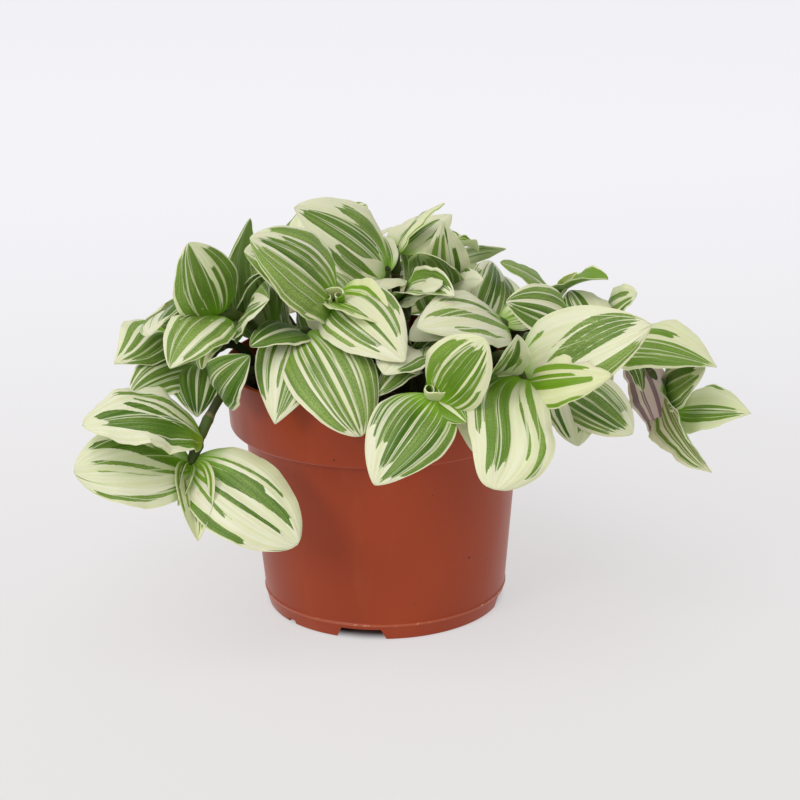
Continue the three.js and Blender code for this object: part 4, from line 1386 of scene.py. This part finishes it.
def pot_look():
    """Satin plastic, a little uneven in colour, with a painted highlight along the ridge near the foot, and
    scuffs where that ridge rubs.
    """
    look = Look("pot_plastic")
    colour = POT_COLOURS
    noise = {
        name: look.noise(look.place((1, 1, stretch)), scale, detail, rough)
        for name, (stretch, scale, detail, rough) in POT_NOISE.items()
    }
    height = look.axis(look.place(), 2)
    off_ridge = look.math("ABSOLUTE", look.math("SUBTRACT", height, RIDGE_HEIGHT * MM))
    # Along the ridge: a painted highlight line, and the scuffs
    highlight_and_scuff_line = look.ramp(off_ridge, *RIDGE_HIGHLIGHT_AND_WEAR)
    scuffed = look.math("MULTIPLY", highlight_and_scuff_line, look.ramp(noise["scratches"], 0.56, 0.66))
    plastic = look.mix(look.ramp(noise["cloud"], 0.3, 0.7), colour["dark"], colour["light"])
    plastic = look.mix(look.ramp(noise["wipes"], 0.5, 0.8, to=0.14), plastic, colour["wiped"])
    # Painted highlight along the ridge
    plastic = look.mix(look.math("MULTIPLY", highlight_and_scuff_line, 0.4), plastic, colour["ridge"])
    plastic = look.mix(scuffed, plastic, colour["scuff"])
    plastic = look.mix(look.ramp(noise["specks"], 0.78, 0.82), plastic, colour["speck"])
    look.surface(
        Base_Color=plastic,
        Roughness=look.ramp(noise["wipes"], 0.2, 0.8, start=0.34, to=0.46),
        Specular_IOR_Level=0.28,
        Sheen_Weight=0.42,
        Sheen_Roughness=0.3,
        Sheen_Tint=colour["sheen"],
        Normal=look.bump(look.math("MULTIPLY_ADD", noise["wipes"], 0.4, noise["grain"]), POT_RELIEF),
    )
    return look.material


def soil_look():
    """Dark crumbs with paler ones among them."""
    look = Look("potting_soil")
    crumbs = look.noise(look.place(), **SOIL_NOISE)
    colour = look.mix(look.ramp(crumbs, 0.35, 0.7), SOIL_COLOURS["dark"], SOIL_COLOURS["light"])
    look.surface(Base_Color=colour, Roughness=0.95, Normal=look.bump(crumbs, SOIL_RELIEF))
    return look.material


# Camera, floor and light: lens and sensor in millimetres, places in metres

FOCAL = 99
SENSOR = 36
ELEVATION = math.radians(18.26)
DISTANCE = 0.847
TARGET = Vector((0.00694, 0, 0.07967))
CAMERA_ROLL = math.radians(-0.94)
FLOOR_HALF = 30
FLOOR_MATT = 0.30

# The floor's colour changes from near to far between these depths, painted darker near and lighter far as
# the light's fall-off, and its soft painted glow, which stands for light from all round, sets in at the
# edge of the pot's foot, leaving a painted contact shadow under the foot
PAINTED_FALLOFF_DEPTH = (-0.3, 0.9)
FLOOR_PAINTED_GLOW = 0.74
PAINTED_FOOT_SHADOW_EDGE = (FOOT_RADIUS * MM * 0.86, FOOT_RADIUS * MM * 1.04)
LIT_PLACE = (0, 0, 0.1)
LIGHTS = dict(
    key=dict(place=(-0.6, -1.2, 3.4), size=3.4, power=50),
    side=dict(place=(-1.3, -1.5, 1.1), size=0.8, power=12),
)
SKY = dict(Color=(0.97, 0.97, 1, 1), Strength=0.56)


def add_camera():
    """A camera at the photo's angle."""
    data = bpy.data.cameras.new("camera")
    data.lens = FOCAL
    data.sensor_width = SENSOR
    data.clip_end = 2 * FLOOR_HALF
    camera = add_to_scene("camera", data)
    back = Vector((0, -math.cos(ELEVATION), math.sin(ELEVATION)))
    camera.location = TARGET + back * DISTANCE
    facing = back.to_track_quat("Z", "Y").to_matrix()
    camera.rotation_euler = (facing @ Matrix.Rotation(CAMERA_ROLL, 3, "Z")).to_euler()
    bpy.context.scene.camera = camera


def add_floor():
    """A wide plain floor with a soft painted glow, left out under the pot's foot as a painted contact
    shadow, and painted light fall-off in its colour.
    """
    near, far = -FLOOR_HALF, FLOOR_HALF
    mesh = bpy.data.meshes.new("floor")
    corners = [(near, near, 0), (far, near, 0), (far, far, 0), (near, far, 0)]
    mesh.from_pydata(corners, [], [(0, 1, 2, 3)])
    floor = add_to_scene("floor", mesh)
    look = Look("floor_painted_light")
    place = look.place()
    # Painted light fall-off: the floor's colour is darker near and lighter far
    colour = look.mix(
        look.ramp(look.axis(place, 1), *PAINTED_FALLOFF_DEPTH), FLOOR_COLOURS_WITH_PAINTED_FALLOFF["near"], FLOOR_COLOURS_WITH_PAINTED_FALLOFF["far"],
    )
    from_middle = look.node("VectorMath")
    from_middle.operation = "LENGTH"
    look.feed(from_middle.inputs[0], place)
    # Painted light: the glow stands for light from all round, and where it is left out under the pot's foot
    # it makes a painted contact shadow
    look.surface(
        Base_Color=look.mix(FLOOR_MATT, FLOOR_COLOURS_WITH_PAINTED_FALLOFF["unlit"], colour),
        Roughness=0.9,
        Emission_Color=colour,
        Emission_Strength=look.ramp(from_middle.outputs["Value"], *PAINTED_FOOT_SHADOW_EDGE, to=FLOOR_PAINTED_GLOW),
    )
    mesh.materials.append(look.material)


def add_light(name, place, size, power):
    """A round lamp that faces the part."""
    data = bpy.data.lights.new(name, "AREA")
    data.shape = "DISK"
    data.size = size
    data.energy = power
    light = add_to_scene(name, data)
    light.location = place
    light.rotation_euler = (Vector(place) - Vector(LIT_PLACE)).to_track_quat("Z", "Y").to_euler()


def add_lights():
    for name, lamp in LIGHTS.items():
        add_light(name, **lamp)
    world = bpy.data.worlds.new("studio")
    world.use_nodes = True
    background = world.node_tree.nodes["Background"]
    for name, value in SKY.items():
        background.inputs[name].default_value = value
    bpy.context.scene.world = world
    bpy.context.scene.view_settings.view_transform = "Standard"


# The scene

def build():
    foliage = foliage_look()
    add_floor()
    pot = make_pot(pot_look())
    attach(pot, "root")
    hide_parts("pot")
    soil = make_soil(soil_look())
    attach(soil, "root")
    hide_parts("soil")
    for name, shoot, leaves in all_leaves():
        shape = Shape()
        add_stem(shape, shoot, [leaf for leaf, _ in leaves])
        for order, (leaf, number) in enumerate(leaves):
            rng = random.Random(f"{name} {order}")
            bands = listed_bands(name, number) or seeded_bands(rng)
            leaf.update(USUAL)
            leaf.update(TRAITS.get(name, {}).get(number, {}))
            if leaf["by_rule"] and leaf["index"] < len(RULED_YOUNG):
                leaf["young"] = RULED_YOUNG[leaf["index"]]
            add_leaf(shape, shoot, leaf, bands, rng)
        piece = shape.make(f"leafy_{name}", foliage)
        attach(piece, "root")
        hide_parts(f"shoot_{name}")
    add_camera()
    add_lights()


build()
